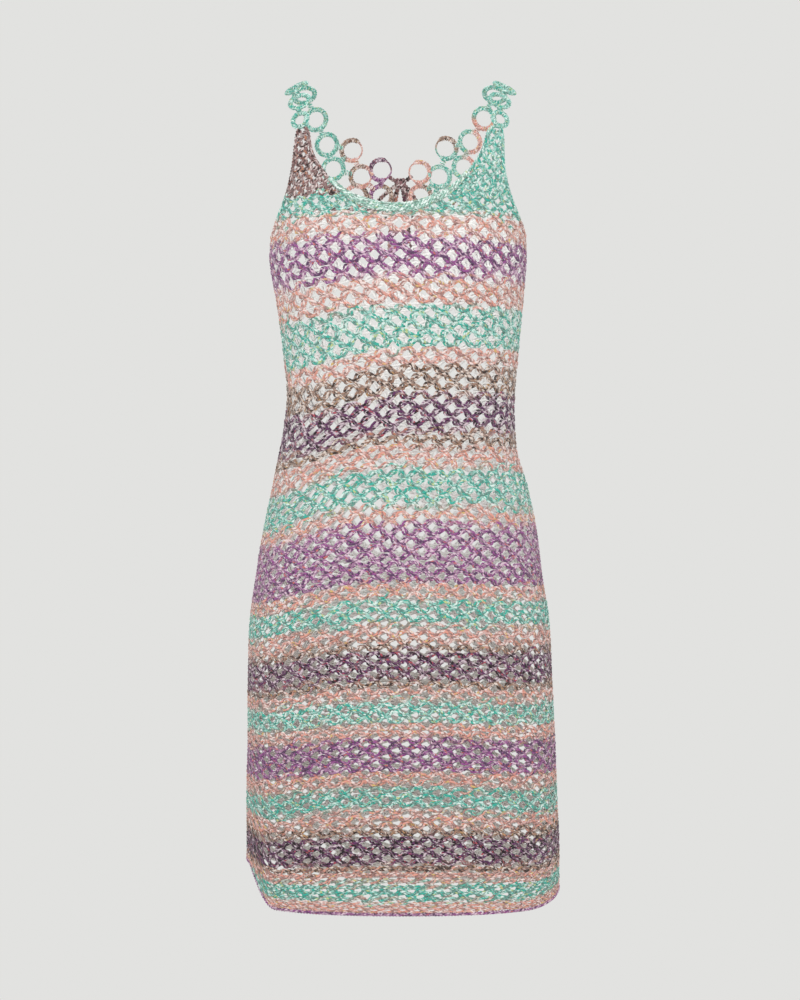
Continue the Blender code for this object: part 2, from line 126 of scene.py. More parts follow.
def smooth_line(points: Points, step: float) -> Points:
    """Points a step apart on a smooth curve through the given points.

    Args:
        points: The places that the curve passes through.
        step: About how far apart the new points lie, in metres.

    Returns:
        The new points, with both ends kept.
    """
    points = np.asarray(points, dtype=float)
    ends = np.vstack([2 * points[0] - points[1], points, 2 * points[-1] - points[-2]])
    line = []
    for p0, p1, p2, p3 in zip(ends, ends[1:], ends[2:], ends[3:]):
        t = np.linspace(0.0, 1.0, SPAN_POINTS, endpoint=False)[:, None]
        bend = 2 * p0 - 5 * p1 + 4 * p2 - p3
        line.append(0.5 * (2 * p1 + (p2 - p0) * t + bend * t**2 + (3 * p1 - p0 - 3 * p2 + p3) * t**3))
    fine = np.vstack([*line, points[-1:]])
    along = walked(fine)
    places = np.linspace(0.0, along[-1], max(2, round(along[-1] / step) + 1))
    return np.stack([np.interp(places, along, fine[:, k]) for k in range(3)], axis=1)


# ---------------------------------------------------------------------------------------------- the form


@dataclass(frozen=True)
class Section:
    """A level cut through the worn dress."""

    level: float
    half_width: float
    centre: float
    front: float
    back: float
    twist: float  # how far the side seams run round towards the viewer's right


SECTIONS = (
    #       level   half_width centre  front   back   twist
    Section(0.010, 0.178, 0.0000, 0.030, 0.030, 0.000),
    Section(-0.040, 0.168, 0.0000, 0.060, 0.040, 0.000),
    Section(-0.080, 0.154, 0.0000, 0.079, 0.056, 0.000),
    Section(-0.120, 0.141, -0.0010, 0.092, 0.068, 0.000),
    Section(-0.150, 0.1335, -0.0015, 0.101, 0.077, 0.000),
    Section(-0.182, 0.1340, -0.0020, 0.107, 0.083, 0.002),
    Section(-0.227, 0.1285, 0.0000, 0.103, 0.084, 0.012),
    Section(-0.274, 0.1233, 0.0008, 0.096, 0.080, 0.028),
    Section(-0.321, 0.1191, 0.0010, 0.092, 0.078, 0.031),
    Section(-0.353, 0.1207, -0.0005, 0.093, 0.082, 0.028),
    Section(-0.384, 0.1250, -0.0015, 0.095, 0.090, 0.016),
    Section(-0.415, 0.1327, 0.0000, 0.098, 0.100, 0.004),
    Section(-0.462, 0.1426, 0.0000, 0.103, 0.112, 0.000),
    Section(-0.509, 0.1494, -0.0010, 0.106, 0.118, 0.000),
    Section(-0.556, 0.1562, -0.0005, 0.108, 0.119, 0.000),
    Section(-0.619, 0.1588, 0.0000, 0.108, 0.117, 0.000),
    Section(-0.682, 0.1604, 0.0015, 0.108, 0.114, 0.000),
    Section(-0.744, 0.1620, 0.0020, 0.107, 0.112, 0.000),
    Section(-0.792, 0.1630, 0.0030, 0.107, 0.110, 0.000),
    Section(-0.860, 0.1630, 0.0030, 0.107, 0.109, 0.000),
)


@dataclass(frozen=True)
class Sag:
    """How far the courses hang lower at the two side seams than in the middle."""

    level: float
    left: float
    right: float


SAGS = (
    Sag(-0.8455, 0.000, 0.000),
    Sag(-0.8000, 0.010, 0.006),
    Sag(-0.7350, 0.017, 0.012),
    Sag(-0.6460, 0.017, 0.007),
    Sag(-0.5460, 0.021, 0.005),
    Sag(-0.4210, 0.030, 0.003),
    Sag(-0.2783, 0.020, 0.000),
    Sag(-0.2364, 0.016, 0.001),
    Sag(-0.2065, 0.011, 0.005),
    Sag(-0.1800, 0.004, 0.002),
    Sag(-0.1500, 0.000, 0.000),
)


@dataclass(frozen=True)
class HemRise:
    """How far in from its two ends the hem of one half is raised, measured along the hem."""

    left_full: float  # width at the left end that is raised in full
    left_fade: float  # width over which the rise then ends
    right_fade: float


HEM_RISES = {
    Side.FRONT: HemRise(left_full=0.030, left_fade=0.055, right_fade=0.090),
    Side.BACK: HemRise(left_full=0.0, left_fade=0.180, right_fade=0.120),
}


@dataclass
class DressForm:
    """The surface that the cloth lies on, as tables over level and share of the way across a half."""

    squareness: float = 2.4
    section_points: int = 97
    level_step: float = 0.0025
    seam_gap: float = 0.0004
    hem_level: float = -0.8455
    hem_rise_top: float = -0.60
    hem_rise_left: float = 0.041
    hem_rise_right: float = 0.011
    hem_rise_power: float = 1.5  # how fast the rise dies out up the skirt
    shares: np.ndarray = field(default_factory=lambda: np.linspace(-0.25, 1.25, 301))  # past both seams

    def __post_init__(self) -> None:
        """Works out both tables of points and of outward directions."""
        top, bottom = SECTIONS[0].level, SECTIONS[-1].level
        self.levels = np.linspace(bottom, top, round((top - bottom) / self.level_step) + 1)
        rows = self.section_rows(self.levels)
        self.points, self.normals, self.widths, self.hem_widths = {}, {}, {}, {}
        for side in Side:
            places, widths = self.side_table(rows, side)
            self.points[side], self.widths[side] = places, widths
            self.hem_widths[side] = float(np.interp(self.hem_level, self.levels, widths))
            across, up = np.gradient(places, axis=1), np.gradient(places, axis=0)
            self.normals[side] = unit(np.cross(across, up) * side.value)

    def section_rows(self, levels: np.ndarray) -> np.ndarray:
        """Half width, centre, front, back and twist at each level, on a smooth curve through the rows.

        Args:
            levels: The levels asked for.

        Returns:
            One row of the five values for each level.
        """
        table = np.array([[s.level, s.half_width, s.centre, s.front, s.back, s.twist] for s in SECTIONS])
        last = len(table) - 1
        after = np.clip(np.searchsorted(-table[:, 0], -levels, side="left"), 1, last)
        upper, lower = table[after - 1], table[after]
        above, below = table[np.maximum(after - 2, 0)], table[np.minimum(after + 1, last)]
        step = lower[:, :1] - upper[:, :1]
        t = (levels[:, None] - upper[:, :1]) / step
        slope_1 = (lower - above) / (lower[:, :1] - above[:, :1]) * step
        slope_2 = (below - upper) / (below[:, :1] - upper[:, :1]) * step
        smooth = (
            (2 * t**3 - 3 * t**2 + 1) * upper
            + (t**3 - 2 * t**2 + t) * slope_1
            + (3 * t**2 - 2 * t**3) * lower
            + (t**3 - t**2) * slope_2
        )
        return smooth[:, 1:]

    def half_line(self, row: np.ndarray, side: Side) -> np.ndarray:
        """x and y along the front or back half of one section, from the left to the right.

        Args:
            row: Half width, centre, front, back and twist of the section.
            side: The half that is asked for.

        Returns:
            Rows of x and y.
        """
        half_width, centre, front, back, _ = row
        angle = np.linspace(0.0, math.pi, self.section_points)
        across, out = np.cos(angle), np.abs(np.sin(angle))
        x = centre - half_width * np.sign(across) * np.abs(across) ** (2 / self.squareness)
        y = (-front if side is Side.FRONT else back) * out ** (2 / self.squareness)
        return np.stack([x, y], axis=1)

    def side_table(self, rows: np.ndarray, side: Side) -> tuple[np.ndarray, np.ndarray]:
        """Works out where the cloth of one half lies.

        Args:
            rows: The five values of the section at each level.
            side: The half that is asked for.

        Returns:
            The points over level and share, and the half's width at each level.
        """
        other = Side.BACK if side is Side.FRONT else Side.FRONT
        table, widths = [], []
        for level, row in zip(self.levels, rows):
            near, far = self.half_line(row, side), self.half_line(row, other)
            line = np.vstack([far[:0:-1], near, far[-2::-1]])
            along = walked(line)
            start, width = along[len(far) - 1], walked(near)[-1]
            places = start + self.seam_gap / 2 + self.shares * (width - self.seam_gap)
            places += row[4] * side.value
            x, y = (np.interp(places, along, line[:, k]) for k in range(2))
            table.append(np.stack([x, y, np.full_like(x, level)], axis=1))
            widths.append(width)
        return np.array(table), np.array(widths)

    def width(self, level: np.ndarray | float, side: Side) -> np.ndarray:
        """Length of cloth across a half at a level."""
        return np.interp(level, self.levels, self.widths[side])

    def rise(self, level: np.ndarray, share: np.ndarray, side: Side) -> tuple[np.ndarray, np.ndarray]:
        """How far the hem's rise lifts the cloth.

        Args:
            level: Height of each point before the rise.
            share: Share of the way across at each point.
            side: The half that the points lie on.

        Returns:
            The lift that comes from the left side, and that from the right.
        """
        width, shape = self.hem_widths[side], HEM_RISES[side]
        from_left, from_right = share * width, (1 - share) * width
        left = self.hem_rise_left * (1 - eased((from_left - shape.left_full) / shape.left_fade))
        right = self.hem_rise_right * (1 - eased(from_right / shape.right_fade))
        fade = np.clip((self.hem_rise_top - level) / (self.hem_rise_top - self.hem_level), 0.0, None)
        return left * fade**self.hem_rise_power, right * fade**self.hem_rise_power

    def lay(self, level: np.ndarray, share: np.ndarray, out: np.ndarray, side: Side) -> tuple[Points, Points]:
        """Places points on the form.

        Args:
            level: Height of each point before the hem's rise.
            share: Share of the way across, 0 at the left seam and 1 at the right.
            out: Distance out of the cloth's outer face.
            side: The half that the points lie on.

        Returns:
            The points, and the outward direction at each.
        """
        row = (level - self.levels[0]) / (self.levels[1] - self.levels[0])
        row = np.clip(row, 0, len(self.levels) - LAST_CELL)
        column = (share - self.shares[0]) / (self.shares[1] - self.shares[0])
        column = np.clip(column, 0, len(self.shares) - LAST_CELL)
        i, j = row.astype(int), column.astype(int)
        u, v = (row - i)[:, None], (column - j)[:, None]
        found = []
        for table in (self.points[side], self.normals[side]):
            low = table[i, j] * (1 - v) + table[i, j + 1] * v
            high = table[i + 1, j] * (1 - v) + table[i + 1, j + 1] * v
            found.append(low * (1 - u) + high * u)
        points, normals = found[0], unit(found[1])
        points[:, 2] += sum(self.rise(level, share, side))
        return points + normals * np.asarray(out)[:, None], normals

    def share_at(self, level: float, x: float, side: Side) -> float:
        """The share of the way across at which the form has this x, above the twisted part.

        Args:
            level: Height of the place.
            x: How far to the right it lies.
            side: The half that it lies on.

        Returns:
            The share, 0 at the left seam and 1 at the right.
        """
        row = int(round((level - self.levels[0]) / (self.levels[1] - self.levels[0])))
        line = self.points[side][row]
        inside = (self.shares >= -TINY) & (self.shares <= 1 + TINY)
        return float(np.interp(x, line[inside, 0], self.shares[inside]))


SAG_FREE = (0.44, 0.56)  # shares of the way across between which the courses hang level
SAG_WIDTH = 0.36  # share of the way over which each side's sag grows to its full depth


def sag(level: np.ndarray, share: np.ndarray) -> np.ndarray:
    """How far the courses hang down.

    Args:
        level: Height of each point.
        share: Share of the way across at each point.

    Returns:
        The sag at each point.
    """
    levels = [row.level for row in SAGS]
    left = np.interp(level, levels, [row.left for row in SAGS])
    right = np.interp(level, levels, [row.right for row in SAGS])
    to_left = eased((SAG_FREE[0] - share) / SAG_WIDTH)
    to_right = eased((share - SAG_FREE[1]) / SAG_WIDTH)
    return left * to_left + right * to_right


# -------------------------------------------------------------------------------------------- the outlines


@dataclass(frozen=True)
class EdgePoint:
    """A point of a panel's top edge on each side, from the side seam to the middle."""

    left_x: float
    left_z: float
    right_x: float
    right_z: float
    trim: float  # depth of the neckline trim here


FRONT_TOP = (
    #         left_x   left_z   right_x  right_z   trim
    EdgePoint(-0.1340, -0.1570, 0.1310, -0.1570, 0.0),  # underarm
    EdgePoint(-0.1305, -0.1500, 0.1280, -0.1500, 0.0),
    EdgePoint(-0.1250, -0.1380, 0.1215, -0.1380, 0.0),
    EdgePoint(-0.1165, -0.1190, 0.1130, -0.1190, 0.0),
    EdgePoint(-0.1105, -0.0930, 0.1068, -0.0930, 0.0),
    EdgePoint(-0.1050, -0.0530, 0.1045, -0.0530, 0.0),  # outer corner of the strap end
    EdgePoint(-0.0940, -0.0530, 0.0910, -0.0520, 0.0),  # inner corner
    EdgePoint(-0.0878, -0.0800, 0.0825, -0.0770, 0.0),
    EdgePoint(-0.0715, -0.1065, 0.0690, -0.0985, 0.0015),
    EdgePoint(-0.0530, -0.1205, 0.0530, -0.1140, 0.0065),
    EdgePoint(-0.0360, -0.1280, 0.0360, -0.1240, 0.0090),
    EdgePoint(-0.0180, -0.1325, 0.0180, -0.1305, 0.0092),
    EdgePoint(0.0000, -0.1335, 0.0000, -0.1335, 0.0092),
)
STRAP_CORNER = 5  # row of FRONT_TOP at which the armhole ends
EDGED_ROWS = STRAP_CORNER + 4  # rows of FRONT_TOP that get edge stitches, up to where the trim takes over
EDGE_SLANT = 0.75  # distance to the slanted neck edge, as a share of the height up to it

BACK_TOP = (
    EdgePoint(-0.1340, -0.1570, 0.1310, -0.1570, 0.0),  # underarm
    EdgePoint(-0.1290, -0.1490, 0.1265, -0.1490, 0.0),
    EdgePoint(-0.1190, -0.1375, 0.1170, -0.1375, 0.0),
    EdgePoint(-0.1060, -0.1270, 0.1050, -0.1270, 0.0),
    EdgePoint(-0.0925, -0.1195, 0.0935, -0.1195, 0.0),
    EdgePoint(-0.0800, -0.1176, 0.0810, -0.1176, 0.0),
    EdgePoint(0.0000, -0.1176, 0.0000, -0.1176, 0.0),
)


def edge_line(table: Sequence[EdgePoint]) -> np.ndarray:
    """Lays out a whole top edge, from the left seam to the right.

    Args:
        table: The edge's points, from the side seam to the middle.

    Returns:
        Rows of x, z and the trim's depth.
    """
    left = [(p.left_x, p.left_z, p.trim) for p in table]
    right = [(p.right_x, p.right_z, p.trim) for p in reversed(table[:-1])]
    return np.array(left + right)


class TopEdge:
    """Says how far inside a panel's top edge a point of the cloth lies."""

    def __init__(self, side: Side) -> None:
        """Splits the edge into its armholes and what lies between them.

        Args:
            side: The half whose top edge this is.
        """
        self.side = side
        table = FRONT_TOP if side is Side.FRONT else BACK_TOP
        line = edge_line(table)
        if side is Side.FRONT:
            corner = STRAP_CORNER + 1
            self.left_arm, self.right_arm = line[:corner], line[-corner:][::-1]
            self.neck = line[corner - 1 : len(line) - corner + 1]
        else:
            self.left_arm = self.right_arm = None
            self.neck = line

    def inside(self, points: Points) -> np.ndarray:
        """How far inside the edge each point lies.

        Args:
            points: The points, on this half of the form.

        Returns:
            The distances, less than zero where the cloth has ended.
        """
        x, z = points[:, 0], points[:, 2]
        limit = np.interp(x, self.neck[:, 0], self.neck[:, 1] - self.neck[:, 2])
        room = (limit - z) * EDGE_SLANT
        if self.left_arm is not None:
            left = np.interp(z, self.left_arm[:, 1], self.left_arm[:, 0])
            right = np.interp(z, self.right_arm[:, 1], self.right_arm[:, 0])
            above = z > self.left_arm[0, 1]
            room = np.where(above, np.minimum(room, np.minimum(x - left, right - x)), room)
        return room


# ------------------------------------------------------------------------------------------------- yarn


PAINTED_INNER_TURN = 0.6  # how far either side of edge-on a strand changes over to its painted pale inner light


@dataclass
class Yarn:
    """Collects tubes of yarn and makes them into one mesh.

    Each tube keeps the length walked along it and the way round it as a UV map. Its attributes are the dye
    weights, how far each point faces into the dress (the mask for painted pale light on the inward faces),
    and a
    lean: how much richer the dye reads there, painted shade and highlight included.
    """

    name: str
    sides: int = 5
    verts: list[Points] = field(default_factory=list)
    quads: list[np.ndarray] = field(default_factory=list)
    caps: list[np.ndarray] = field(default_factory=list)
    uvs: list[np.ndarray] = field(default_factory=list)
    cap_uvs: list[np.ndarray] = field(default_factory=list)
    dyes: list[np.ndarray] = field(default_factory=list)
    painted_inner_lights: list[np.ndarray] = field(default_factory=list)
    leans: list[np.ndarray] = field(default_factory=list)
    paints_inner_light: bool = False  # whether the faces towards the inside of the dress get painted pale light
    count: int = 0
    strands: int = 0

    def tube(
        self,
        line: Points,
        normals: Points,
        radius: np.ndarray | float,
        dye: np.ndarray,
        closed: bool = False,
        flatten: float = 1.0,
        lean: np.ndarray | float = 0.0,
    ) -> None:
        """Adds one tube.

        Args:
            line: Points along its middle.
            normals: A direction across the line at each point, from which the way round is counted.
            radius: Radius at each point, or the same all along.
            dye: Dye weights at each point.
            closed: Whether the line joins up with its start.
            flatten: Share of the radius along the normals.
            lean: How much richer the dye reads at each point, from -1 for pale to 1 for deep, painted shade
                and highlight included.
        """
        n, m = len(line), self.sides
        if n < 3:
            return
        if closed:
            tangent = unit(np.roll(line, -1, axis=0) - np.roll(line, 1, axis=0))
        else:
            tangent = unit(np.gradient(line, axis=0))
        across = unit(np.cross(tangent, normals))
        up = np.cross(across, tangent)
        angle = 2 * math.pi * (np.arange(m) + 0.5 * self.paints_inner_light) / m
        radius = np.broadcast_to(radius, (n,))[:, None, None]
        ring = np.cos(angle)[None, :, None] * across[:, None]
        ring = ring + np.sin(angle)[None, :, None] * up[:, None] * flatten
        self.verts.append((line[:, None] + radius * ring).reshape(-1, 3))
        steps = n if closed else n - 1
        i, j = np.meshgrid(np.arange(steps), np.arange(m), indexing="ij")
        i, j = i.ravel(), j.ravel()
        k, after = (i + 1) % n, (j + 1) % m
        corners = np.stack([i * m + j, i * m + after, k * m + after, k * m + j], axis=1)
        self.quads.append(corners + self.count)
        along = walked(line)
        if closed:
            along = np.append(along, along[-1] + np.linalg.norm(line[0] - line[-1]))
        self.strands += 1
        u = np.stack([along[i], along[i], along[i + 1], along[i + 1]], axis=1)
        v = np.stack([j, j + 1, j + 1, j], axis=1) / m + self.strands
        self.uvs.append(np.stack([u, v], axis=2).reshape(-1, 2))
        if not closed:
            start, end = np.arange(m)[::-1], np.arange(m) + (n - 1) * m
            self.caps.append(np.stack([start, end]) + self.count)
            ends = np.array([[along[0], self.strands], [along[-1], self.strands]])
            self.cap_uvs.append(np.repeat(ends, m, axis=0))
        self.dyes.append(np.repeat(np.broadcast_to(dye, (n, 4)), m, axis=0))
        # How far each point faces into the dress: the mask for the painted pale inner light.
        inward = -(ring * normals[:, None]).sum(axis=2).ravel() / flatten
        turned = eased((inward + PAINTED_INNER_TURN) / (2 * PAINTED_INNER_TURN))
        self.painted_inner_lights.append(turned if self.paints_inner_light else np.zeros(n * m))
        self.leans.append(np.repeat(np.broadcast_to(lean, n), m))
        self.count += n * m

    def rope(self, line: Points, normals: Points, radius: float, pitch: float, dye: np.ndarray) -> None:
        """Adds two strands twisted round each other along a line.

        Args:
            line: Points along the rope's middle.
            normals: A direction across the line at each point.
            radius: Radius of one strand; the rope is twice as thick.
            pitch: Length of one full turn.
            dye: Dye weights at each point.
        """
        tangent = unit(np.gradient(line, axis=0))
        across = unit(np.cross(tangent, normals))
        turn = 2 * math.pi * walked(line) / pitch
        for start in (0.0, math.pi):
            offset = np.cos(turn + start)[:, None] * across + np.sin(turn + start)[:, None] * normals
            self.tube(line + offset * radius, normals, radius, dye)

    def make(self) -> bpy.types.Object:
        """Makes the collected tubes into one object.

        Returns:
            The object, at the origin, shaded smooth.
        """
        quads = np.vstack(self.quads)
        caps = np.vstack(self.caps) if self.caps else np.zeros((0, self.sides), int)
        mesh = bpy.data.meshes.new(self.name)
        verts = np.vstack(self.verts)
        loops = np.concatenate([quads.ravel(), caps.ravel()])
        sizes = np.concatenate([np.full(len(quads), 4), np.full(len(caps), self.sides)])
        starts = np.concatenate([[0], np.cumsum(sizes)[:-1]])
        mesh.vertices.add(len(verts))
        mesh.vertices.foreach_set("co", verts.ravel())
        mesh.loops.add(len(loops))
        mesh.loops.foreach_set("vertex_index", loops)
        mesh.polygons.add(len(sizes))
        mesh.polygons.foreach_set("loop_start", starts)
        mesh.update(calc_edges=True)
        mesh.validate()
        uvs = np.vstack(self.uvs + self.cap_uvs)
        mesh.uv_layers.new(name="Strand").data.foreach_set("uv", uvs.ravel())
        dyes = mesh.attributes.new("dye", "FLOAT_COLOR", "POINT")
        dyes.data.foreach_set("color", np.vstack(self.dyes).ravel())
        # Stores the mask of the painted pale inner light.
        wrong_side = mesh.attributes.new("wrong_side", "FLOAT", "POINT")
        wrong_side.data.foreach_set("value", np.concatenate(self.painted_inner_lights))
        lean = mesh.attributes.new("lean", "FLOAT", "POINT")
        lean.data.foreach_set("value", np.concatenate(self.leans))
        mesh.shade_smooth()
        piece = bpy.data.objects.new(self.name, mesh)
        bpy.context.scene.collection.objects.link(piece)
        return piece


@dataclass(frozen=True)
class Stripe:
    """A band of one dye, down to the level given."""

    bottom: float
    dye: Dye


STRIPES = (
    Stripe(-0.1445, Dye.TEAL),
    Stripe(-0.1665, Dye.PEACH),
    Stripe(-0.2065, Dye.PURPLE),
    Stripe(-0.2364, Dye.PEACH),
    Stripe(-0.2783, Dye.TEAL),
    Stripe(-0.2943, Dye.PEACH),
    Stripe(-0.3240, Dye.BROWN),
    Stripe(-0.3620, Dye.AUBERGINE),
    Stripe(-0.3760, Dye.BROWN),
    Stripe(-0.3990, Dye.PEACH),
    Stripe(-0.4370, Dye.TEAL),
    Stripe(-0.4530, Dye.PEACH),
    Stripe(-0.5140, Dye.PURPLE),
    Stripe(-0.5300, Dye.PEACH),
    Stripe(-0.5550, Dye.TEAL),
    Stripe(-0.5720, Dye.PEACH),
    Stripe(-0.5800, Dye.BROWN),
    Stripe(-0.6100, Dye.AUBERGINE),
    Stripe(-0.6170, Dye.BROWN),
    Stripe(-0.6300, Dye.PEACH),
    Stripe(-0.6525, Dye.TEAL),
    Stripe(-0.6680, Dye.PEACH),
    Stripe(-0.7005, Dye.PURPLE),
    Stripe(-0.7160, Dye.PEACH),
    Stripe(-0.7395, Dye.TEAL),
    Stripe(-0.7560, Dye.PEACH),
    Stripe(-0.7650, Dye.BROWN),
    Stripe(-0.7930, Dye.AUBERGINE),
    Stripe(-0.8000, Dye.BROWN),
    Stripe(-0.8125, Dye.PEACH),
    Stripe(-0.8300, Dye.TEAL),
    Stripe(-0.9000, Dye.PEACH),
)

LEFT_STRAP_END = -0.1216  # down to here the left strap is worked in other dyes than the right one
LEFT_STRAP_DYES = (Dye.BROWN,) * 3 + (Dye.AUBERGINE,) * 2
DYE_CHANGE = 6.0 * MM  # height over which one dye of the yarn runs into the next


def stripe_weights(level: np.ndarray, share: np.ndarray | float = 1.0) -> np.ndarray:
    """Dye weights of the net, one family to a band with soft changes.

    Args:
        level: The height that says in which band each point lies.
        share: Share of the way across at each point.

    Returns:
        The four weights at each point.
    """
    bottoms = np.array([stripe.bottom for stripe in STRIPES[:-1]])
    kinds = np.array([stripe.dye.weights for stripe in STRIPES])
    below = eased((bottoms - np.asarray(level)[..., None]) / DYE_CHANGE + 0.5)
    weights = kinds[0] + below @ np.diff(kinds, axis=0)
    strap = (np.asarray(level) > LEFT_STRAP_END) & (np.asarray(share) < 0.5)
    return np.where(strap[..., None], blended(*LEFT_STRAP_DYES), weights)


# ------------------------------------------------------------------------------------------------ the net


@dataclass(frozen=True)
class Zone:
    """A stretch of net with its own gauge. Openings stand in columns, each half a row off the next."""

    name: str
    top: float
    bottom: float
    columns: int  # columns of openings across a half
    row_top: float  # height of one row of openings at the top of the zone
    row_bottom: float
    opening: float  # height of one opening
    spread: float  # how far the strands of a course lie from its middle on the flanks
    strand: float  # radius of one strand
    lean: float = 0.06  # how far the openings lean over to the right
    flatness: float = 0.45  # how much longer the turns are, and steeper the flanks, than in an even wave
    points: int = 4  # points of a strand on each flank
    rich: float = 0.0  # how much richer the dye reads here, from -1 for pale to 1 for deep; the larger values low in the skirt are painted shade

    @classmethod
    def in_mm(
        cls, name: str, top: float, bottom: float, columns: int, *sizes: float, **rest: float
    ) -> "Zone":
        """A zone whose rows, opening, spread and strand are given in millimetres."""
        return cls(name, top, bottom, columns, *(size * MM for size in sizes), **rest)


COLUMNS_PAST = 2  # columns of openings worked out past each seam, so that the strands reach it
LEVELS_PER_METRE = 10000  # a zone's random draws are numbered by its top, in tenths of a millimetre


@dataclass
class Net:
    """The net of one half of the dress, course by course."""

    form: DressForm
    side: Side
    seed: int
    wall_middle: float = -1.5 * MM
    forward: float = 0.6 * MM  # how far the flanks that run down stand out, and the others lie back
    overlap: float = 0.7 * MM  # how far the strands pass in front of and behind the course's middle
    flatten: float = 0.42  # thickness of a strand through the cloth, as a share of its width along it
    least_height: float = 1.6  # least height of a course at its turns, in radii of a strand
    tucked: float = 0.7  # how much of a turn's half height the strands themselves take, in radii of a strand
    loosened: float = 1.2  # how far apart the strands lie in what is left of it, as a share
    least_spread: float = 0.15 * MM
    plies: tuple[float, ...] = (0.40, 0.05, -0.25)  # how rich each strand of a course reads beside the others
    flank_rich: float = 0.2  # how much richer a forward flank reads and paler a back one: painted shade and highlight by the flank's slant
    stray: float = 0.35 * MM  # how far an opening strays, across and down
    stray_out: float = 0.20 * MM
    stray_height: float = 0.05  # share by which an opening is taller or lower
    uneven_strand: float = 0.10  # share by which a strand is thicker or thinner
    dye_waver: float = 2.7 * MM  # how far the edge of a band strays along a strand
    dye_slope: float = 0.4  # share of a strand's own rise that its band follows
    dye_cut_off: float = 0.85  # share of the hem's left rise by which the bands are cut off there
    edge_inset: float = 1.2 * MM
    seam_inset: float = 0.3 * MM
    stripe_shift: float = 0.0

    def half_rows(self, zone: Zone) -> np.ndarray:
        """Levels of the openings' middles, half a row apart.

        Args:
            zone: Gauge of the net.

        Returns:
            The levels, from the zone's top to its bottom.
        """
        mean = (zone.row_top + zone.row_bottom) / 2
        count = max(2, round(2 * (zone.top - zone.bottom) / mean))
        steps = np.linspace(zone.row_top, zone.row_bottom, count)
        steps *= (zone.top - zone.bottom) / steps.sum()
        return zone.top - np.concatenate([[0.0], np.cumsum(steps)])

    def crochet(self, yarn: Yarn, zones: Sequence[Zone]) -> None:
        """Adds every course of the zones to the yarn.

        Args:
            yarn: Where the strands go.
            zones: Gauges of the net, from the top down.
        """
        edge = TopEdge(self.side)
        for zone in zones:
            chance = np.random.default_rng(self.seed + round(-zone.top * LEVELS_PER_METRE))
            levels = self.half_rows(zone)
            shape = (len(levels), zone.columns + 2 * COLUMNS_PAST + 1)
            wander = {
                "across": chance.normal(0, self.stray, shape),
                "down": chance.normal(0, self.stray, shape),
                "height": 1 + chance.normal(0, self.stray_height, shape),
                "depth": chance.normal(0, self.stray_out, shape),
            }
            for row in range(len(levels) - 1):
                self.course(yarn, edge, zone, levels, row, wander, chance)

    def course(
        self,
        yarn: Yarn,
        edge: TopEdge,
        zone: Zone,
        levels: np.ndarray,
        row: int,
        wander: dict[str, np.ndarray],
        chance: np.random.Generator,
    ) -> None:
        """Adds one course: strands that wave under the openings of one half row and over those of the next.

        The strands are twisted round each other, half a turn on every flank. They lie apart on the flanks and
        close together at the turns, where the course touches its neighbours.

        Args:
            yarn: Where the strands go.
            edge: The top edge at which they stop.
            zone: Gauge of the net here.
            levels: Levels of all the zone's half rows.
            row: Number of the half row above the course. Its parity says which columns have openings there.
            wander: How far each opening departs from the even net.
            chance: Source of the strands' own unevenness.
        """
        columns = np.arange(-COLUMNS_PAST, zone.columns + COLUMNS_PAST + 1)
        over = (columns + row) % 2  # 1 where the course passes over an opening of the lower half row
        pick = {name: values[row + over, columns + COLUMNS_PAST] for name, values in wander.items()}
        middle = float(levels[row] + levels[row + 1]) / 2
        width = float(self.form.width(middle, self.side))
        bar = float(levels[row] - levels[row + 1]) - zone.opening / 2  # height of the course at its turns
        reach = (zone.opening + max(bar, self.least_height * zone.strand)) / 2 * pick["height"]
        turn_z = levels[row + over] + np.where(over == 1, reach, -reach) + pick["down"]
        turn_x = columns / zone.columns * width + pick["across"]
        hang = sag(turn_z, turn_x / width)
        t = np.arange(zone.points) / zone.points
        flat = t + zone.flatness * np.sin(2 * math.pi * t) / (2 * math.pi)
        rise = (1 - np.cos(math.pi * t)) / 2

        def waved(values: np.ndarray, share: np.ndarray) -> np.ndarray:
            """Values at every point of the course, from those at its turns."""
            return (values[:-1, None] + np.diff(values)[:, None] * share).ravel()

        x, z = waved(turn_x, flat), waved(turn_z, rise)
        x = x + zone.lean * (z - middle)
        level = z - waved(hang, rise)
        flank = (np.where(over[:-1] == 1, 1.0, -1.0)[:, None] * np.sin(math.pi * t)).ravel()
        turn = math.pi * (np.arange(len(x)) / zone.points + row % 2)
        away = unit(np.stack([-np.gradient(level), np.gradient(x)], axis=1))
        out = self.wall_middle + waved(pick["depth"], rise) + self.forward * flank
        closed = max(bar / 2 - self.tucked * zone.strand, 0.0) * self.loosened + self.least_spread
        spread = closed + (zone.spread - closed) * np.abs(flank)
        for number, ply in enumerate(self.plies):
            phase = turn + 2 * math.pi * number / len(self.plies)
            aside = spread * np.sin(phase)
            share = (x + away[:, 0] * aside) / width
            depth = out + self.overlap * np.cos(phase)
            points, normals = self.form.lay(level + away[:, 1] * aside, share, depth, self.side)
            room = edge.inside(points) - self.edge_inset
            room = np.minimum(room, np.minimum(share, 1 - share) * width - self.seam_inset)
            waver = self.uneven(chance, len(x), 2 * zone.points, self.dye_waver)
            cut_off, _ = self.form.rise(level, share, self.side)  # bands run level into the hem's left end
            band = middle + self.stripe_shift + (z - middle) * self.dye_slope + waver
            band = band + self.dye_cut_off * cut_off
            dye = stripe_weights(band, share)
            thick = zone.strand * (1 + self.uneven(chance, len(x), zone.points, self.uneven_strand))
            # Each strand's lean: its own dye richness, painted shade low in the skirt, and painted shade and
            # highlight by the flank's slant.
            rich = zone.rich + ply + self.flank_rich * flank
            for run in runs_inside(room, points, normals, thick[:, None], dye, rich[:, None]):
                line, across, size, colour, lean = run
                yarn.tube(line, across, size[:, 0], colour, flatten=self.flatten, lean=lean[:, 0])

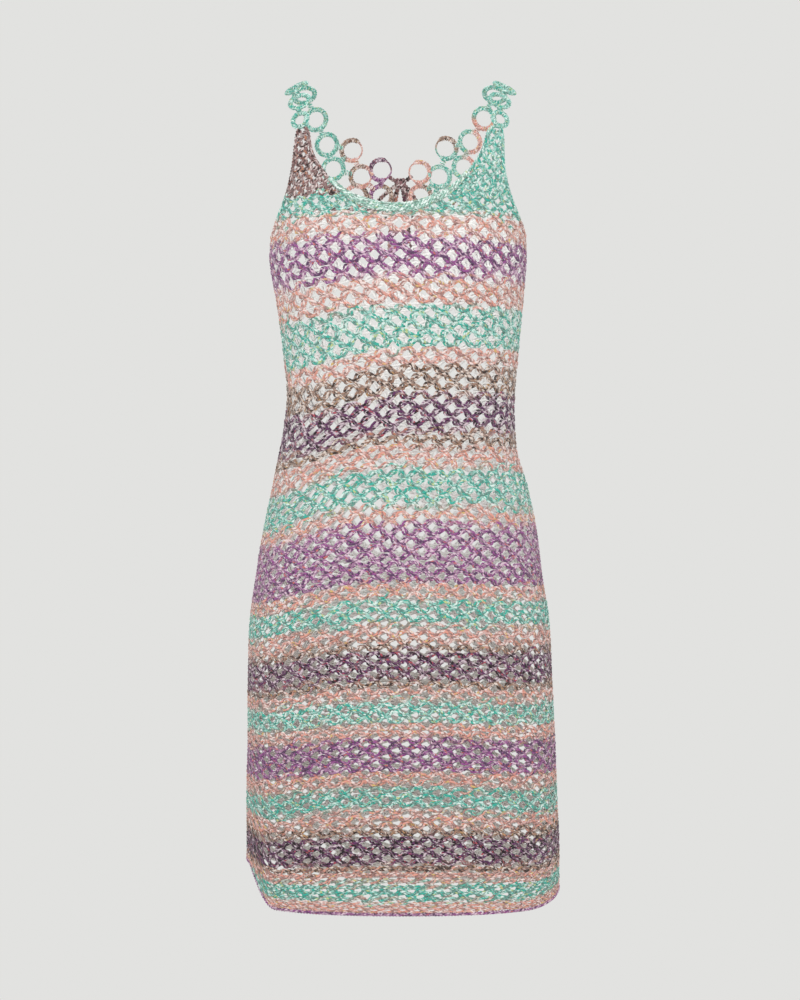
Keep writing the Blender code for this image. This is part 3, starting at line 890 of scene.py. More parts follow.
    @staticmethod
    def uneven(chance: np.random.Generator, count: int, every: int, amount: float) -> np.ndarray:
        """Slow random change along a strand.

        Args:
            chance: Source of the change.
            count: Points of the strand.
            every: How many points lie between two new values.
            amount: Spread of the values.

        Returns:
            The change at each point.
        """
        places = np.arange(0, count + every, every)
        return np.interp(np.arange(count), places, chance.normal(0, amount, len(places)))


def runs_inside(room: np.ndarray, *columns: np.ndarray) -> list[list[np.ndarray]]:
    """Splits a line into the runs that lie inside, each cut off where the room reaches zero.

    Args:
        room: Distance inside at each point.
        columns: Arrays of values at each point.

    Returns:
        For each run of at least three points, the matching rows of every array.
    """
    runs = []
    inside = room > 0
    starts = np.flatnonzero(inside & ~np.concatenate([[False], inside[:-1]]))
    ends = np.flatnonzero(inside & ~np.concatenate([inside[1:], [False]]))
    for start, end in zip(starts, ends):
        run = []
        for values in columns:
            rows = values[start : end + 1]
            if start > 0:
                part = room[start] / (room[start] - room[start - 1])
                rows = np.vstack([values[start] + (values[start - 1] - values[start]) * part, rows])
            if end < len(room) - 1:
                part = room[end] / (room[end] - room[end + 1])
                rows = np.vstack([rows, values[end] + (values[end + 1] - values[end]) * part])
            run.append(rows)
        if len(run[0]) >= 3:
            runs.append(run)
    return runs


# ----------------------------------------------------------------------------------------------- finishes


@dataclass(frozen=True)
class YarnTones:
    """The tones that make up a marled yarn in one dye family."""

    main: Colour
    pale: Colour
    deep: Colour
    fleck: Colour
    accent: Colour


TONES = {
    Dye.PEACH: YarnTones(
        (0.66, 0.42, 0.39), (0.87, 0.72, 0.69), (0.39, 0.22, 0.20), (0.76, 0.34, 0.27), (0.66, 0.46, 0.18)
    ),
    Dye.TEAL: YarnTones(
        (0.33, 0.61, 0.54), (0.70, 0.85, 0.80), (0.15, 0.30, 0.26), (0.05, 0.43, 0.34), (0.52, 0.60, 0.28)
    ),
    Dye.PURPLE: YarnTones(
        (0.38, 0.20, 0.33), (0.72, 0.53, 0.64), (0.12, 0.06, 0.13), (0.31, 0.09, 0.28), (0.56, 0.16, 0.16)
    ),
    Dye.BROWN: YarnTones(
        (0.34, 0.24, 0.20), (0.76, 0.65, 0.59), (0.06, 0.04, 0.035), (0.36, 0.21, 0.15), (0.48, 0.28, 0.12)
    ),
    Dye.AUBERGINE: YarnTones(
        (0.19, 0.11, 0.15), (0.64, 0.52, 0.58), (0.025, 0.015, 0.02), (0.13, 0.04, 0.12), (0.45, 0.09, 0.12)
    ),
}


@dataclass(frozen=True)
class FleckLayer:
    """One tone's flecks along the yarn: they show where a noise passes from low to high."""

    tone: str
    low: float
    high: float
    shift: float  # where in the noise this tone is read
    scale: float
    lean: float  # how much more of this tone a richer strand has


FLECK_LAYERS = (
    #          tone      low   high  shift scale lean
    FleckLayer("Pale", 0.46, 0.53, 0.0, 1.0, -0.05),
    FleckLayer("Fleck", 0.53, 0.58, 57.3, 0.9, 0.03),
    FleckLayer("Deep", 0.55, 0.60, 31.7, 1.15, 0.05),
    FleckLayer("Accent", 0.64, 0.68, 83.1, 0.9, 0.0),
)
TONE_NAMES = ("Main", "Pale", "Deep", "Fleck", "Accent")


@dataclass
class ShaderKit:
    """The node groups that the yarn materials share."""

    fleck_turn: float = 0.42  # radius of the circle round which a strand's flecks are read from the noise
    fleck_detail: float = 1.5
    strand_shift: float = 7.31  # how far on in the noise each next strand is read
    ply_relief: float = 0.35  # height of the plies beside that of the fuzz
    fuzz_scale: float = 6.0
    fuzz_detail: float = 2.0

    def __post_init__(self) -> None:
        """Makes both groups once."""
        self.blend = self.dye_blend()
        self.marl = self.marled_yarn()

    @staticmethod
    def new_group(
        name: str, inputs: Sequence[tuple[str, str]], outputs: Sequence[tuple[str, str]]
    ) -> tuple[bpy.types.NodeTree, bpy.types.Node, bpy.types.Node]:
        """Makes an empty node group.

        Args:
            name: The group's name.
            inputs: Name and type of each input socket.
            outputs: Name and type of each output socket.

        Returns:
            The group, its input node and its output node.
        """
        group = bpy.data.node_groups.new(name, "ShaderNodeTree")
        for label, kind in inputs:
            group.interface.new_socket(name=label, in_out="INPUT", socket_type=kind)
        for label, kind in outputs:
            group.interface.new_socket(name=label, in_out="OUTPUT", socket_type=kind)
        return group, group.nodes.new("NodeGroupInput"), group.nodes.new("NodeGroupOutput")

    def dye_blend(self) -> bpy.types.NodeTree:
        """Picks one of five colours by the dye weights.

        Returns:
            The node group.
        """
        colours = [(dye.name.title(), "NodeSocketColor") for dye in Dye]
        group, given, result = self.new_group(
            "Dye Blend",
            [("Dye", "NodeSocketColor"), ("Fourth Dye", "NodeSocketFloat"), *colours],
            [("Color", "NodeSocketColor")],
        )
        split = group.nodes.new("ShaderNodeSeparateColor")
        group.links.new(given.outputs["Dye"], split.inputs["Color"])
        weights = [split.outputs[part] for part in ("Red", "Green", "Blue")] + [given.outputs["Fourth Dye"]]
        colour = given.outputs["Peach"]
        for dye, weight in zip(list(Dye)[1:], weights):
            mix = group.nodes.new("ShaderNodeMix")
            mix.data_type = "RGBA"
            group.links.new(weight, mix.inputs["Factor"])
            group.links.new(colour, mix.inputs["A"])
            group.links.new(given.outputs[dye.name.title()], mix.inputs["B"])
            colour = mix.outputs["Result"]
        group.links.new(colour, result.inputs["Color"])
        return group

    def marled_yarn(self) -> bpy.types.NodeTree:
        """Lays pale, deep and bright flecks along the strand, and gives the relief of its plies.

        Returns:
            The node group.
        """
        tones = [(name, "NodeSocketColor") for name in TONE_NAMES]
        group, given, result = self.new_group(
            "Marled Yarn",
            [
                ("Strand", "NodeSocketVector"),
                *tones,
                ("Flecks per Metre", "NodeSocketFloat"),
                ("Plies per Metre", "NodeSocketFloat"),
                ("Lean", "NodeSocketFloat"),
            ],
            [("Color", "NodeSocketColor"), ("Height", "NodeSocketFloat")],
        )
        nodes, links = group.nodes, group.links

        def math_node(operation: str, a: object, b: object) -> bpy.types.NodeSocket:
            """Adds a Math node.

            Args:
                operation: What it does.
                a: Its first socket or number.
                b: Its second one.

            Returns:
                The node's result.
            """
            node = nodes.new("ShaderNodeMath")
            node.operation = operation
            for socket, value in zip(node.inputs, (a, b)):
                if isinstance(value, bpy.types.NodeSocket):
                    links.new(value, socket)
                else:
                    socket.default_value = value
            return node.outputs[0]

        axes = nodes.new("ShaderNodeSeparateXYZ")
        links.new(given.outputs["Strand"], axes.inputs[0])
        plies = math_node("MULTIPLY", axes.outputs[0], given.outputs["Plies per Metre"])
        twist = math_node("ADD", plies, axes.outputs[1])
        round_turn = math_node("MULTIPLY", twist, 2 * math.pi)
        strand_start = math_node("MULTIPLY", math_node("FLOOR", axes.outputs[1], 0.0), self.strand_shift)
        along = math_node("MULTIPLY", axes.outputs[0], given.outputs["Flecks per Metre"])
        place = nodes.new("ShaderNodeCombineXYZ")
        links.new(math_node("ADD", along, strand_start), place.inputs[0])
        for socket, operation in zip(place.inputs[1:], ("COSINE", "SINE")):
            links.new(math_node("MULTIPLY", math_node(operation, round_turn, 0.0), self.fleck_turn), socket)
        colour = given.outputs["Main"]
        for layer in FLECK_LAYERS:
            noise = nodes.new("ShaderNodeTexNoise")
            noise.noise_dimensions = "3D"
            noise.inputs["Scale"].default_value = layer.scale
            noise.inputs["Detail"].default_value = self.fleck_detail
            move = nodes.new("ShaderNodeVectorMath")
            move.operation = "ADD"
            links.new(place.outputs[0], move.inputs[0])
            move.inputs[1].default_value = (layer.shift,) * 3
            links.new(move.outputs[0], noise.inputs["Vector"])
            step = nodes.new("ShaderNodeMapRange")
            step.interpolation_type = "SMOOTHSTEP"
            step.inputs["From Min"].default_value = layer.low
            step.inputs["From Max"].default_value = layer.high
            leaned = math_node("MULTIPLY_ADD", given.outputs["Lean"], layer.lean)
            links.new(noise.outputs["Fac"], leaned.node.inputs[2])
            links.new(leaned, step.inputs["Value"])
            mix = nodes.new("ShaderNodeMix")
            mix.data_type = "RGBA"
            links.new(step.outputs["Result"], mix.inputs["Factor"])
            links.new(colour, mix.inputs["A"])
            links.new(given.outputs[layer.tone], mix.inputs["B"])
            colour = mix.outputs["Result"]
        links.new(colour, result.inputs["Color"])
        wave = math_node("SINE", math_node("MULTIPLY", twist, 4 * math.pi), 0.0)
        fuzz = nodes.new("ShaderNodeTexNoise")
        fuzz.noise_dimensions = "3D"
        fuzz.inputs["Scale"].default_value = self.fuzz_scale
        fuzz.inputs["Detail"].default_value = self.fuzz_detail
        links.new(place.outputs[0], fuzz.inputs["Vector"])
        relief = math_node("ADD", math_node("MULTIPLY", wave, self.ply_relief), fuzz.outputs["Fac"])
        links.new(relief, result.inputs["Height"])
        return group


@dataclass(frozen=True)
class YarnFinish:
    """One marled yarn, dyed by the piece's own weights."""

    name: str
    flecks_per_metre: float = 110.0
    plies_per_metre: float = 110.0
    roughness: float = 0.9
    shine: float = 0.25
    sheen: float = 0.2
    sheen_roughness: float = 0.5
    relief: float = 0.35
    relief_depth: float = 0.8 * MM
    brighten: float = 1.0
    inside: Colour = (0.95, 0.94, 0.93)  # painted light: the net's faces towards the inside of the dress, near white as if brightly lit
    inside_painted_shade: Colour = (0.68, 0.64, 0.61)  # painted shade: the same, darker in the lower half of the dress
    low_levels: tuple[float, float] = (-0.43, -0.64)  # from where to where the one runs into the other
    turned: tuple[float, float] = (0.50, 0.80)  # inward facing at which the painted inner light starts, and is full

    def material(self, kit: ShaderKit) -> bpy.types.Material:
        """Builds the material.

        Args:
            kit: The shared node groups.

        Returns:
            The finished material.
        """
        material = bpy.data.materials.new(self.name)
        material.use_nodes = True
        nodes, links = material.node_tree.nodes, material.node_tree.links
        shader = nodes["Principled BSDF"]
        shader.inputs["Roughness"].default_value = self.roughness
        shader.inputs["Specular IOR Level"].default_value = self.shine
        shader.inputs["Sheen Weight"].default_value = self.sheen
        shader.inputs["Sheen Roughness"].default_value = self.sheen_roughness
        dye = nodes.new("ShaderNodeAttribute")
        dye.attribute_name = "dye"
        strand = nodes.new("ShaderNodeUVMap")
        strand.uv_map = "Strand"
        marl = nodes.new("ShaderNodeGroup")
        marl.node_tree = kit.marl
        marl.inputs["Flecks per Metre"].default_value = self.flecks_per_metre
        marl.inputs["Plies per Metre"].default_value = self.plies_per_metre
        links.new(strand.outputs[0], marl.inputs["Strand"])
        lean = nodes.new("ShaderNodeAttribute")
        lean.attribute_name = "lean"
        links.new(lean.outputs["Fac"], marl.inputs["Lean"])
        for tone in TONE_NAMES:
            blend = nodes.new("ShaderNodeGroup")
            blend.node_tree = kit.blend
            links.new(dye.outputs["Color"], blend.inputs["Dye"])
            links.new(dye.outputs["Alpha"], blend.inputs["Fourth Dye"])
            for family, tones in TONES.items():
                colour = [min(1.0, part * self.brighten) for part in getattr(tones, tone.lower())]
                blend.inputs[family.name.title()].default_value = (*colour, 1.0)
            links.new(blend.outputs["Color"], marl.inputs[tone])
        bump = nodes.new("ShaderNodeBump")
        bump.inputs["Strength"].default_value = self.relief
        bump.inputs["Distance"].default_value = self.relief_depth
        links.new(marl.outputs["Height"], bump.inputs["Height"])
        # The faces towards the inside of the dress are painted with light instead of the dye: near white
        # above, darker painted shade in the lower half.
        wrong_side = nodes.new("ShaderNodeAttribute")
        wrong_side.attribute_name = "wrong_side"
        place = nodes.new("ShaderNodeTexCoord")
        axes = nodes.new("ShaderNodeSeparateXYZ")
        links.new(place.outputs["Object"], axes.inputs[0])
        lower = nodes.new("ShaderNodeMapRange")
        lower.interpolation_type = "SMOOTHSTEP"
        lower.inputs["From Min"].default_value, lower.inputs["From Max"].default_value = self.low_levels
        links.new(axes.outputs["Z"], lower.inputs["Value"])
        painted_inner_tone = nodes.new("ShaderNodeMix")
        painted_inner_tone.data_type = "RGBA"
        painted_inner_tone.inputs["A"].default_value = (*self.inside, 1.0)
        painted_inner_tone.inputs["B"].default_value = (*self.inside_painted_shade, 1.0)
        links.new(lower.outputs["Result"], painted_inner_tone.inputs["Factor"])
        inside = nodes.new("ShaderNodeMix")
        inside.data_type = "RGBA"
        links.new(painted_inner_tone.outputs["Result"], inside.inputs["B"])
        turned = nodes.new("ShaderNodeMapRange")
        turned.interpolation_type = "SMOOTHSTEP"
        turned.inputs["From Min"].default_value, turned.inputs["From Max"].default_value = self.turned
        links.new(wrong_side.outputs["Fac"], turned.inputs["Value"])
        links.new(turned.outputs["Result"], inside.inputs["Factor"])
        links.new(marl.outputs["Color"], inside.inputs["A"])
        links.new(inside.outputs["Result"], shader.inputs["Base Color"])
        links.new(bump.outputs["Normal"], shader.inputs["Normal"])
        return material


# ------------------------------------------------------------------------------------------ sub-assemblies


def dress_piece(piece: bpy.types.Object, material: bpy.types.Material, slot: str, *replaced: str) -> None:
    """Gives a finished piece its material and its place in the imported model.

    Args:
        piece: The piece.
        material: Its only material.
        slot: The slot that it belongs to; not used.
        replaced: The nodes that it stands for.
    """
    piece.data.materials.clear()
    piece.data.materials.append(material)
    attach(piece, BODY)
    if replaced:
        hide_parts(*replaced)
    faces = sum(len(polygon.vertices) - 2 for polygon in piece.data.polygons)
    LOG.info("%s: %d triangles", piece.name, faces)


ZONES_FRONT = (
    #          name     top      bottom  columns row_top row_bottom opening spread strand, the last five in mm
    Zone.in_mm("yoke", -0.0530, -0.1240, 74, 13.0, 12.0, 9.6, 1.6, 1.65, lean=0.35, rich=0.1),
    Zone.in_mm("chest", -0.1240, -0.1460, 40, 11.0, 12.0, 7.0, 2.1, 1.60, lean=0.15, rich=0.2),
    Zone.in_mm("bust", -0.1460, -0.3660, 30, 15.5, 17.8, 11.0, 2.8, 1.74, points=5),
    Zone.in_mm("waist", -0.3660, -0.4910, 36, 17.0, 16.2, 10.4, 2.5, 1.60, points=5, rich=0.1),
    Zone.in_mm("hip", -0.4910, -0.6600, 43, 15.8, 14.0, 8.6, 2.3, 1.58, rich=0.2),
    Zone.in_mm("skirt", -0.6600, -0.7950, 43, 13.4, 14.4, 7.6, 2.3, 1.48, rich=0.6),
    Zone.in_mm("low_skirt", -0.7950, -0.8310, 50, 12.6, 11.6, 3.4, 2.1, 1.46, rich=0.9),
    Zone.in_mm("hem_band", -0.8310, -0.8420, 62, 5.6, 5.6, 1.6, 0.8, 1.15, points=3, rich=0.3),
)

ZONES_BACK = (
    Zone.in_mm("back_yoke", -0.1190, -0.1250, 60, 6.0, 6.0, 2.4, 0.8, 1.15, points=3),
    Zone.in_mm("back_bust", -0.1250, -0.3660, 30, 15.5, 17.8, 11.0, 2.8, 1.74, points=5),
    ZONES_FRONT[3],
    Zone.in_mm("back_hip", -0.4910, -0.6600, 43, 15.8, 14.0, 6.8, 2.3, 1.58, rich=0.2),
    Zone.in_mm("back_skirt", -0.6600, -0.8310, 43, 13.4, 13.4, 5.2, 2.2, 1.46, rich=0.6),
    ZONES_FRONT[-1],
)


@dataclass
class NetPanel:
    """One half of the dress, in three meshes so that each keeps its full detail."""

    form: DressForm
    side: Side
    node: str
    zones: Sequence[Zone]
    seed: int
    stripe_shift: float = 0.0
    levels_measured: int = 60
    shares_measured: int = 81

    def build(self, material: bpy.types.Material) -> None:
        """Crochets the three stretches, each as a piece of its own.

        Args:
            material: The net's yarn.
        """
        word = self.side.name.lower()
        hip = next(i for i, zone in enumerate(self.zones) if zone.name.endswith("hip"))
        stretches = {
            f"{word}_bodice": self.zones[:hip],
            f"{word}_hip": self.zones[hip : hip + 1],
            f"{word}_skirt": self.zones[hip + 1 :],
        }
        net = Net(self.form, self.side, self.seed, stripe_shift=self.stripe_shift)
        for name, zones in stretches.items():
            yarn = Yarn(name, sides=4, paints_inner_light=True)
            net.crochet(yarn, zones)
            piece = yarn.make()
            dress_piece(piece, material, "net_yarn", self.node)
            levels = np.linspace(zones[-1].bottom, zones[0].top, self.levels_measured)
            widths = self.form.width(levels, self.side)
            area = self.cut_area(levels)

    def cut_area(self, levels: np.ndarray) -> float:
        """Flat area of the cloth inside the top edge.

        Args:
            levels: Levels from the bottom of the stretch to its top.

        Returns:
            The area in square metres.
        """
        edge = TopEdge(self.side)
        shares = np.linspace(0.0, 1.0, self.shares_measured)
        rows = []
        for level in levels:
            points, _ = self.form.lay(np.full_like(shares, level), shares, np.zeros_like(shares), self.side)
            covered = float((edge.inside(points) > 0).mean())
            rows.append(covered * float(self.form.width(level, self.side)))
        return float(np.mean(rows) * (levels[-1] - levels[0]))


@dataclass(frozen=True)
class TrimRope:
    """One rope of the neckline trim."""

    part: float  # how far down in the trim it lies, as a share of the trim's depth
    radius: float


TRIM_ROPES = (TrimRope(0.16, 1.15 * MM), TrimRope(0.50, 1.2 * MM), TrimRope(0.84, 1.15 * MM))
TRIM_DYES = (Dye.TEAL,) * 4 + (Dye.PEACH,)


@dataclass
class EdgeRopes:
    """The ropes of stitches that finish the edges: neckline, armholes, back edge, side seams and hem.

    Each out is how far a rope's middle lies out of the cloth's outer face, less than zero for inside it.
    """

    form: DressForm
    step: float = 1.1 * MM
    pitch: float = 6.5 * MM
    trim_out: float = -0.6 * MM
    edge_out: float = -1.2 * MM
    edge_inset: float = 1.2 * MM
    edge_radius: float = 1.05 * MM
    seam_top: float = -0.1585
    seam_lift: float = 2 * MM  # how far above the hem the seam's rope ends
    seam_out: float = -1.4 * MM
    seam_radius: float = 1.0 * MM
    hem_lift: float = 1.8 * MM

    def on_cloth(self, x: np.ndarray, z: np.ndarray, out: float, side: Side) -> tuple[Points, Points]:
        """Lays a line on the form.

        Args:
            x: How far to the right each of its points lies.
            z: Height of each point.
            out: Distance out of the cloth's outer face.
            side: The half that the line lies on.

        Returns:
            The points, and the outward direction at each.
        """
        shares = np.array([self.form.share_at(level, place, side) for level, place in zip(z, x)])
        return self.form.lay(z, shares, np.full_like(z, out), side)

    def spaced(self, x: np.ndarray, z: np.ndarray) -> tuple[np.ndarray, np.ndarray]:
        """The same line as evenly spaced points on a smooth curve."""
        line = smooth_line(np.stack([x, np.zeros_like(x), z], axis=1), self.step)
        return line[:, 0], line[:, 2]

    def neckline(self, material: bpy.types.Material) -> None:
        """Lays three ropes side by side under the neck edge, which narrow to one towards the straps.

        Args:
            material: The trim's yarn.
        """
        line = edge_line(FRONT_TOP)
        line = line[line[:, 2] > 0]
        yarn = Yarn("neckline_trim_rows")
        for rope in TRIM_ROPES:
            x, z = self.spaced(line[:, 0], line[:, 1] - line[:, 2] * rope.part)
            points, normals = self.on_cloth(x, z, self.trim_out, Side.FRONT)
            yarn.rope(points, normals, rope.radius, self.pitch, blended(*TRIM_DYES))
        dress_piece(yarn.make(), material, "teal_yarn", "neckline_trim")

    def top_edges(self, material: bpy.types.Material) -> None:
        """Lays the edge stitches of both armholes, the straps' inner edges and the back.

        Args:
            material: The net's yarn.
        """
        yarn = Yarn("edge_stitches")
        line = edge_line(FRONT_TOP)
        for stretch in (line[:EDGED_ROWS], line[-EDGED_ROWS:]):
            self.edge(yarn, stretch, Side.FRONT)
        self.edge(yarn, edge_line(BACK_TOP), Side.BACK)
        dress_piece(yarn.make(), material, "net_yarn")

    def edge(self, yarn: Yarn, stretch: np.ndarray, side: Side) -> None:
        """Adds one rope a little inside a stretch of top edge.

        Args:
            yarn: Where the rope goes.
            stretch: Rows of x and z along the edge.
            side: The half that the edge lies on.
        """
        x, z = self.spaced(stretch[:, 0], stretch[:, 1])
        along = unit(np.stack([np.gradient(x), np.gradient(z)], axis=1))
        x, z = x + along[:, 1] * self.edge_inset, z - along[:, 0] * self.edge_inset
        points, normals = self.on_cloth(x, z, self.edge_out, side)
        yarn.rope(points, normals, self.edge_radius, self.pitch, stripe_weights(z, x > 0))

    def seams(self, material: bpy.types.Material) -> None:
        """Lays a rope of stitches down each side seam.

        Args:
            material: The net's yarn.
        """
        yarn = Yarn("side_seams")
        levels = np.arange(self.seam_top, self.form.hem_level + self.seam_lift, -self.step)
        for share in (0.0, 1.0):
            shares = np.full_like(levels, share)
            points, normals = self.form.lay(levels, shares, np.full_like(levels, self.seam_out), Side.FRONT)
            dye = stripe_weights(levels + sag(levels, shares))
            yarn.rope(points, normals, self.seam_radius, self.pitch, dye)
        dress_piece(yarn.make(), material, "net_yarn")

    def hems(self, material: bpy.types.Material) -> None:
        """Lays the hem's rope, in one piece for each half.

        Args:
            material: The hem's yarn.
        """
        for side in Side:
            yarn = Yarn(f"hem_rope_{side.name.lower()}", paints_inner_light=True)
            shares = np.linspace(0.0, 1.0, round(self.form.hem_widths[side] / self.step))
            levels = np.full_like(shares, self.form.hem_level + self.hem_lift)
            points, normals = self.form.lay(levels, shares, np.full_like(shares, self.seam_out), side)
            yarn.rope(points, normals, self.seam_radius, self.pitch, Dye.PURPLE.weights)
            dress_piece(yarn.make(), material, "purple_yarn", f"hem_edge_{side.name.lower()}")


@dataclass(frozen=True)
class RingDye:
    """The dyes of one ring: one all round, and the other where it is named."""

    first: Dye
    second: Dye
    where: float = 0.0  # where the second one lies, in degrees from the ring's inner end


@dataclass(frozen=True)
class Ring:
    """A ring of one shoulder lace, given for both sides.

    lean is the direction that the strap runs in, in degrees from straight up over to straight down the
    back. slope is how far the ring's inner end lifts, and turn how far it lies deeper, also in degrees.
    """

    name: str
    left_x: float
    left_z: float
    right_x: float
    right_z: float
    depth: float
    lean: float
    slope: float
    turn: float
    size: float = 1.0
    bare: float = -40.0  # half of the thin arc at the inner end, in degrees; less than zero for none


RINGS = (
    #     name          left_x   left_z   right_x  right_z  depth  lean slope turn size or bare
    Ring("front_low", -0.1020, -0.0435, 0.1020, -0.0425, -0.0530, 22, 0, -25, size=0.72),
    Ring("front_high", -0.1030, -0.0225, 0.1020, -0.0215, -0.0415, 42, 8, -15, size=0.92),
    Ring("top", -0.1070, -0.0050, 0.1080, -0.0050, -0.0225, 66, 26, -5),
    Ring("back_1", -0.1000, -0.0075, 0.0990, -0.0070, 0.0035, 122, 14, 5),
    Ring("back_2", -0.0886, -0.0300, 0.0886, -0.0290, 0.0195, 153, 0, 20),
    Ring("back_3", -0.0774, -0.0545, 0.0742, -0.0515, 0.0310, 158, 0, 20),
    Ring("back_4", -0.0710, -0.0785, 0.0680, -0.0770, 0.0410, 158, 0, 18),
    Ring("inner_3", -0.0510, -0.0590, 0.0489, -0.0570, 0.0400, 156, 0, 12, bare=55),
    Ring("inner_4", -0.0416, -0.0850, 0.0422, -0.0855, 0.0515, 158, 0, 9, bare=45),
    Ring("centre_4", -0.0203, -0.0780, 0.0207, -0.0805, 0.0520, 160, 0, 4, bare=65),
    Ring("low_outer", -0.0745, -0.1048, 0.0745, -0.1048, 0.0510, 162, 0, 18),
    Ring("low_middle", -0.0471, -0.1048, 0.0485, -0.1048, 0.0590, 162, 0, 10),
    Ring("low_inner", -0.0204, -0.1048, 0.0222, -0.1048, 0.0625, 162, 0, 4),
)

ALL_TEAL = RingDye(Dye.TEAL, Dye.TEAL)
LEFT_RING_DYES = {
    "inner_3": RingDye(Dye.PEACH, Dye.BROWN, 220),
    "inner_4": RingDye(Dye.PEACH, Dye.BROWN, 200),
    "centre_4": RingDye(Dye.PURPLE, Dye.AUBERGINE, 270),
    "low_middle": RingDye(Dye.PEACH, Dye.BROWN),
    "low_inner": RingDye(Dye.PURPLE, Dye.BROWN),
}
RIGHT_RING_DYES = {
    "back_2": RingDye(Dye.TEAL, Dye.PEACH, 80),
    "back_3": RingDye(Dye.TEAL, Dye.PEACH, 160),
    "back_4": RingDye(Dye.TEAL, Dye.PEACH, 180),
    "inner_3": RingDye(Dye.TEAL, Dye.BROWN, 260),
    "centre_4": RingDye(Dye.PEACH, Dye.PEACH),
    "low_middle": RingDye(Dye.TEAL, Dye.BROWN, 180),
    "low_inner": RingDye(Dye.PEACH, Dye.BROWN, 180),
}


@dataclass
class RingLace:
    """The crocheted-over rings of one shoulder, and the stitches that join them."""

    side: int  # -1 left, 1 right
    radius: float = 10.7 * MM
    tube: float = 2.55 * MM
    wraps: int = 24
    wrap_radius: float = 0.62 * MM
    core: float = 1.75 * MM
    core_points: int = 32
    wrap_points: int = 7  # points on each turn of the winding
    stitch_points: int = 3
    stitch_radius: float = 0.6 * MM
    stitch_inset: float = 0.5 * MM  # how far inside the wound tube's outside the stitches' middle lies
    stitch_swing: tuple[float, float] = (0.9 * MM, 0.5 * MM)  # how far they wave across the ring and out
    bare_loss: float = 0.62  # share of the thickness that is missing along a bare arc
    bare_fade: float = 14.0  # degrees either side of the arc's end over which the thickness changes
    dye_sharpness: float = 1.6  # how fast one dye of a ring runs into the other
    join_reach: float = 6.4 * MM  # widest gap between two rings' wound tubes that is joined
    join_least: float = 0.001 * MM
    join_over: float = 1.4 * MM  # how much longer a join is than the gap
    join_turns: float = 4.0
    join_points: int = 30
    join_waist: float = 1.7 * MM
    join_bulge: float = 0.8 * MM
    join_radius: float = 0.75 * MM
    places_compared: int = 48

    def place(self, ring: Ring) -> Matrix:
        """Works out where a ring lies.

        Args:
            ring: The ring.

        Returns:
            The matrix that lays a flat ring in its place.
        """
        x, z = (ring.left_x, ring.left_z) if self.side < 0 else (ring.right_x, ring.right_z)
        turn, slope, lean = (math.radians(angle) for angle in (ring.turn, ring.slope, ring.lean))
        inward = Vector((-self.side * math.cos(turn) * math.cos(slope), math.sin(turn), math.sin(slope)))
        inward.normalize()
        along = Vector((0.0, math.sin(lean), math.cos(lean)))
        along = (along - inward * along.dot(inward)).normalized()
        matrix = Matrix((inward, along, inward.cross(along))).transposed().to_4x4()
        matrix.translation = Vector((x, ring.depth, z))
        return matrix

    def dye_round(self, ring: Ring, angle: np.ndarray) -> np.ndarray:
        """Dye weights round a ring.

        Args:
            ring: The ring.
            angle: Angles round it, in radians from its inner end.

        Returns:
            The four weights at each angle.
        """
        dyes = (LEFT_RING_DYES if self.side < 0 else RIGHT_RING_DYES).get(ring.name, ALL_TEAL)
        share = eased(0.5 + self.dye_sharpness * np.cos(angle - math.radians(dyes.where)))[:, None]
        return dyes.first.weights * (1 - share) + dyes.second.weights * share

    def fullness(self, ring: Ring, angle: np.ndarray) -> np.ndarray:
        """How thick a ring is, small along its bare arc.

        Args:
            ring: The ring.
            angle: Angles round it, in radians from its inner end.

        Returns:
            Share of the full thickness at each angle.
        """
        off = np.abs((np.degrees(angle) + 180) % 360 - 180)
        return 1 - self.bare_loss * eased((ring.bare + self.bare_fade - off) / (2 * self.bare_fade))

    @staticmethod
    def circle(count: int) -> tuple[np.ndarray, Points]:
        """Even angles round a flat ring, and the directions out of its middle there."""
        angle = np.linspace(0, 2 * math.pi, count, endpoint=False)
        return angle, np.stack([np.cos(angle), np.sin(angle), np.zeros_like(angle)], axis=1)

    def wrap(self, yarn: Yarn, ring: Ring, matrix: Matrix) -> None:
        """Adds one ring: a core, the yarn wound over it, and the row of stitches round its outside.

        Args:
            yarn: Where the strands go.
            ring: The ring.
            matrix: What lays a flat ring in its place.
        """
        radius = self.radius * ring.size
        turn, move = np.array(matrix.to_3x3()), np.array(matrix.translation)
        wraps = round(self.wraps * ring.size)

        def laid(line: Points, normals: Points) -> tuple[Points, Points]:
            """A line and its directions, taken to the ring's place."""
            return line @ turn.T + move, normals @ turn.T

        angle, out = self.circle(self.core_points)
        line, normals = laid(out * radius, out)
        full = self.fullness(ring, angle)
        yarn.tube(line, normals, self.core * full, self.dye_round(ring, angle), closed=True)
        angle, out = self.circle(wraps * self.wrap_points)
        winding = angle * wraps
        axis = np.array([0.0, 0.0, 1.0])
        offset = np.cos(winding)[:, None] * out + np.sin(winding)[:, None] * axis
        full = self.fullness(ring, angle)
        line, normals = laid(out * radius + offset * (self.tube - self.wrap_radius) * full[:, None], offset)
        yarn.tube(line, normals, self.wrap_radius * full, self.dye_round(ring, angle), closed=True)
        angle, out = self.circle(wraps * self.stitch_points)
        full = self.fullness(ring, angle)
        across, outward = self.stitch_swing
        for start in (0.0, math.pi):
            wave = angle * wraps / 2 + start
            offset = np.sin(wave)[:, None] * axis * across + np.cos(wave)[:, None] * out * outward
            reach = radius + (self.tube - self.stitch_inset) * full[:, None]
            line, normals = laid(out * reach + offset * full[:, None], out)
            yarn.tube(line, normals, self.stitch_radius * full, self.dye_round(ring, angle), closed=True)

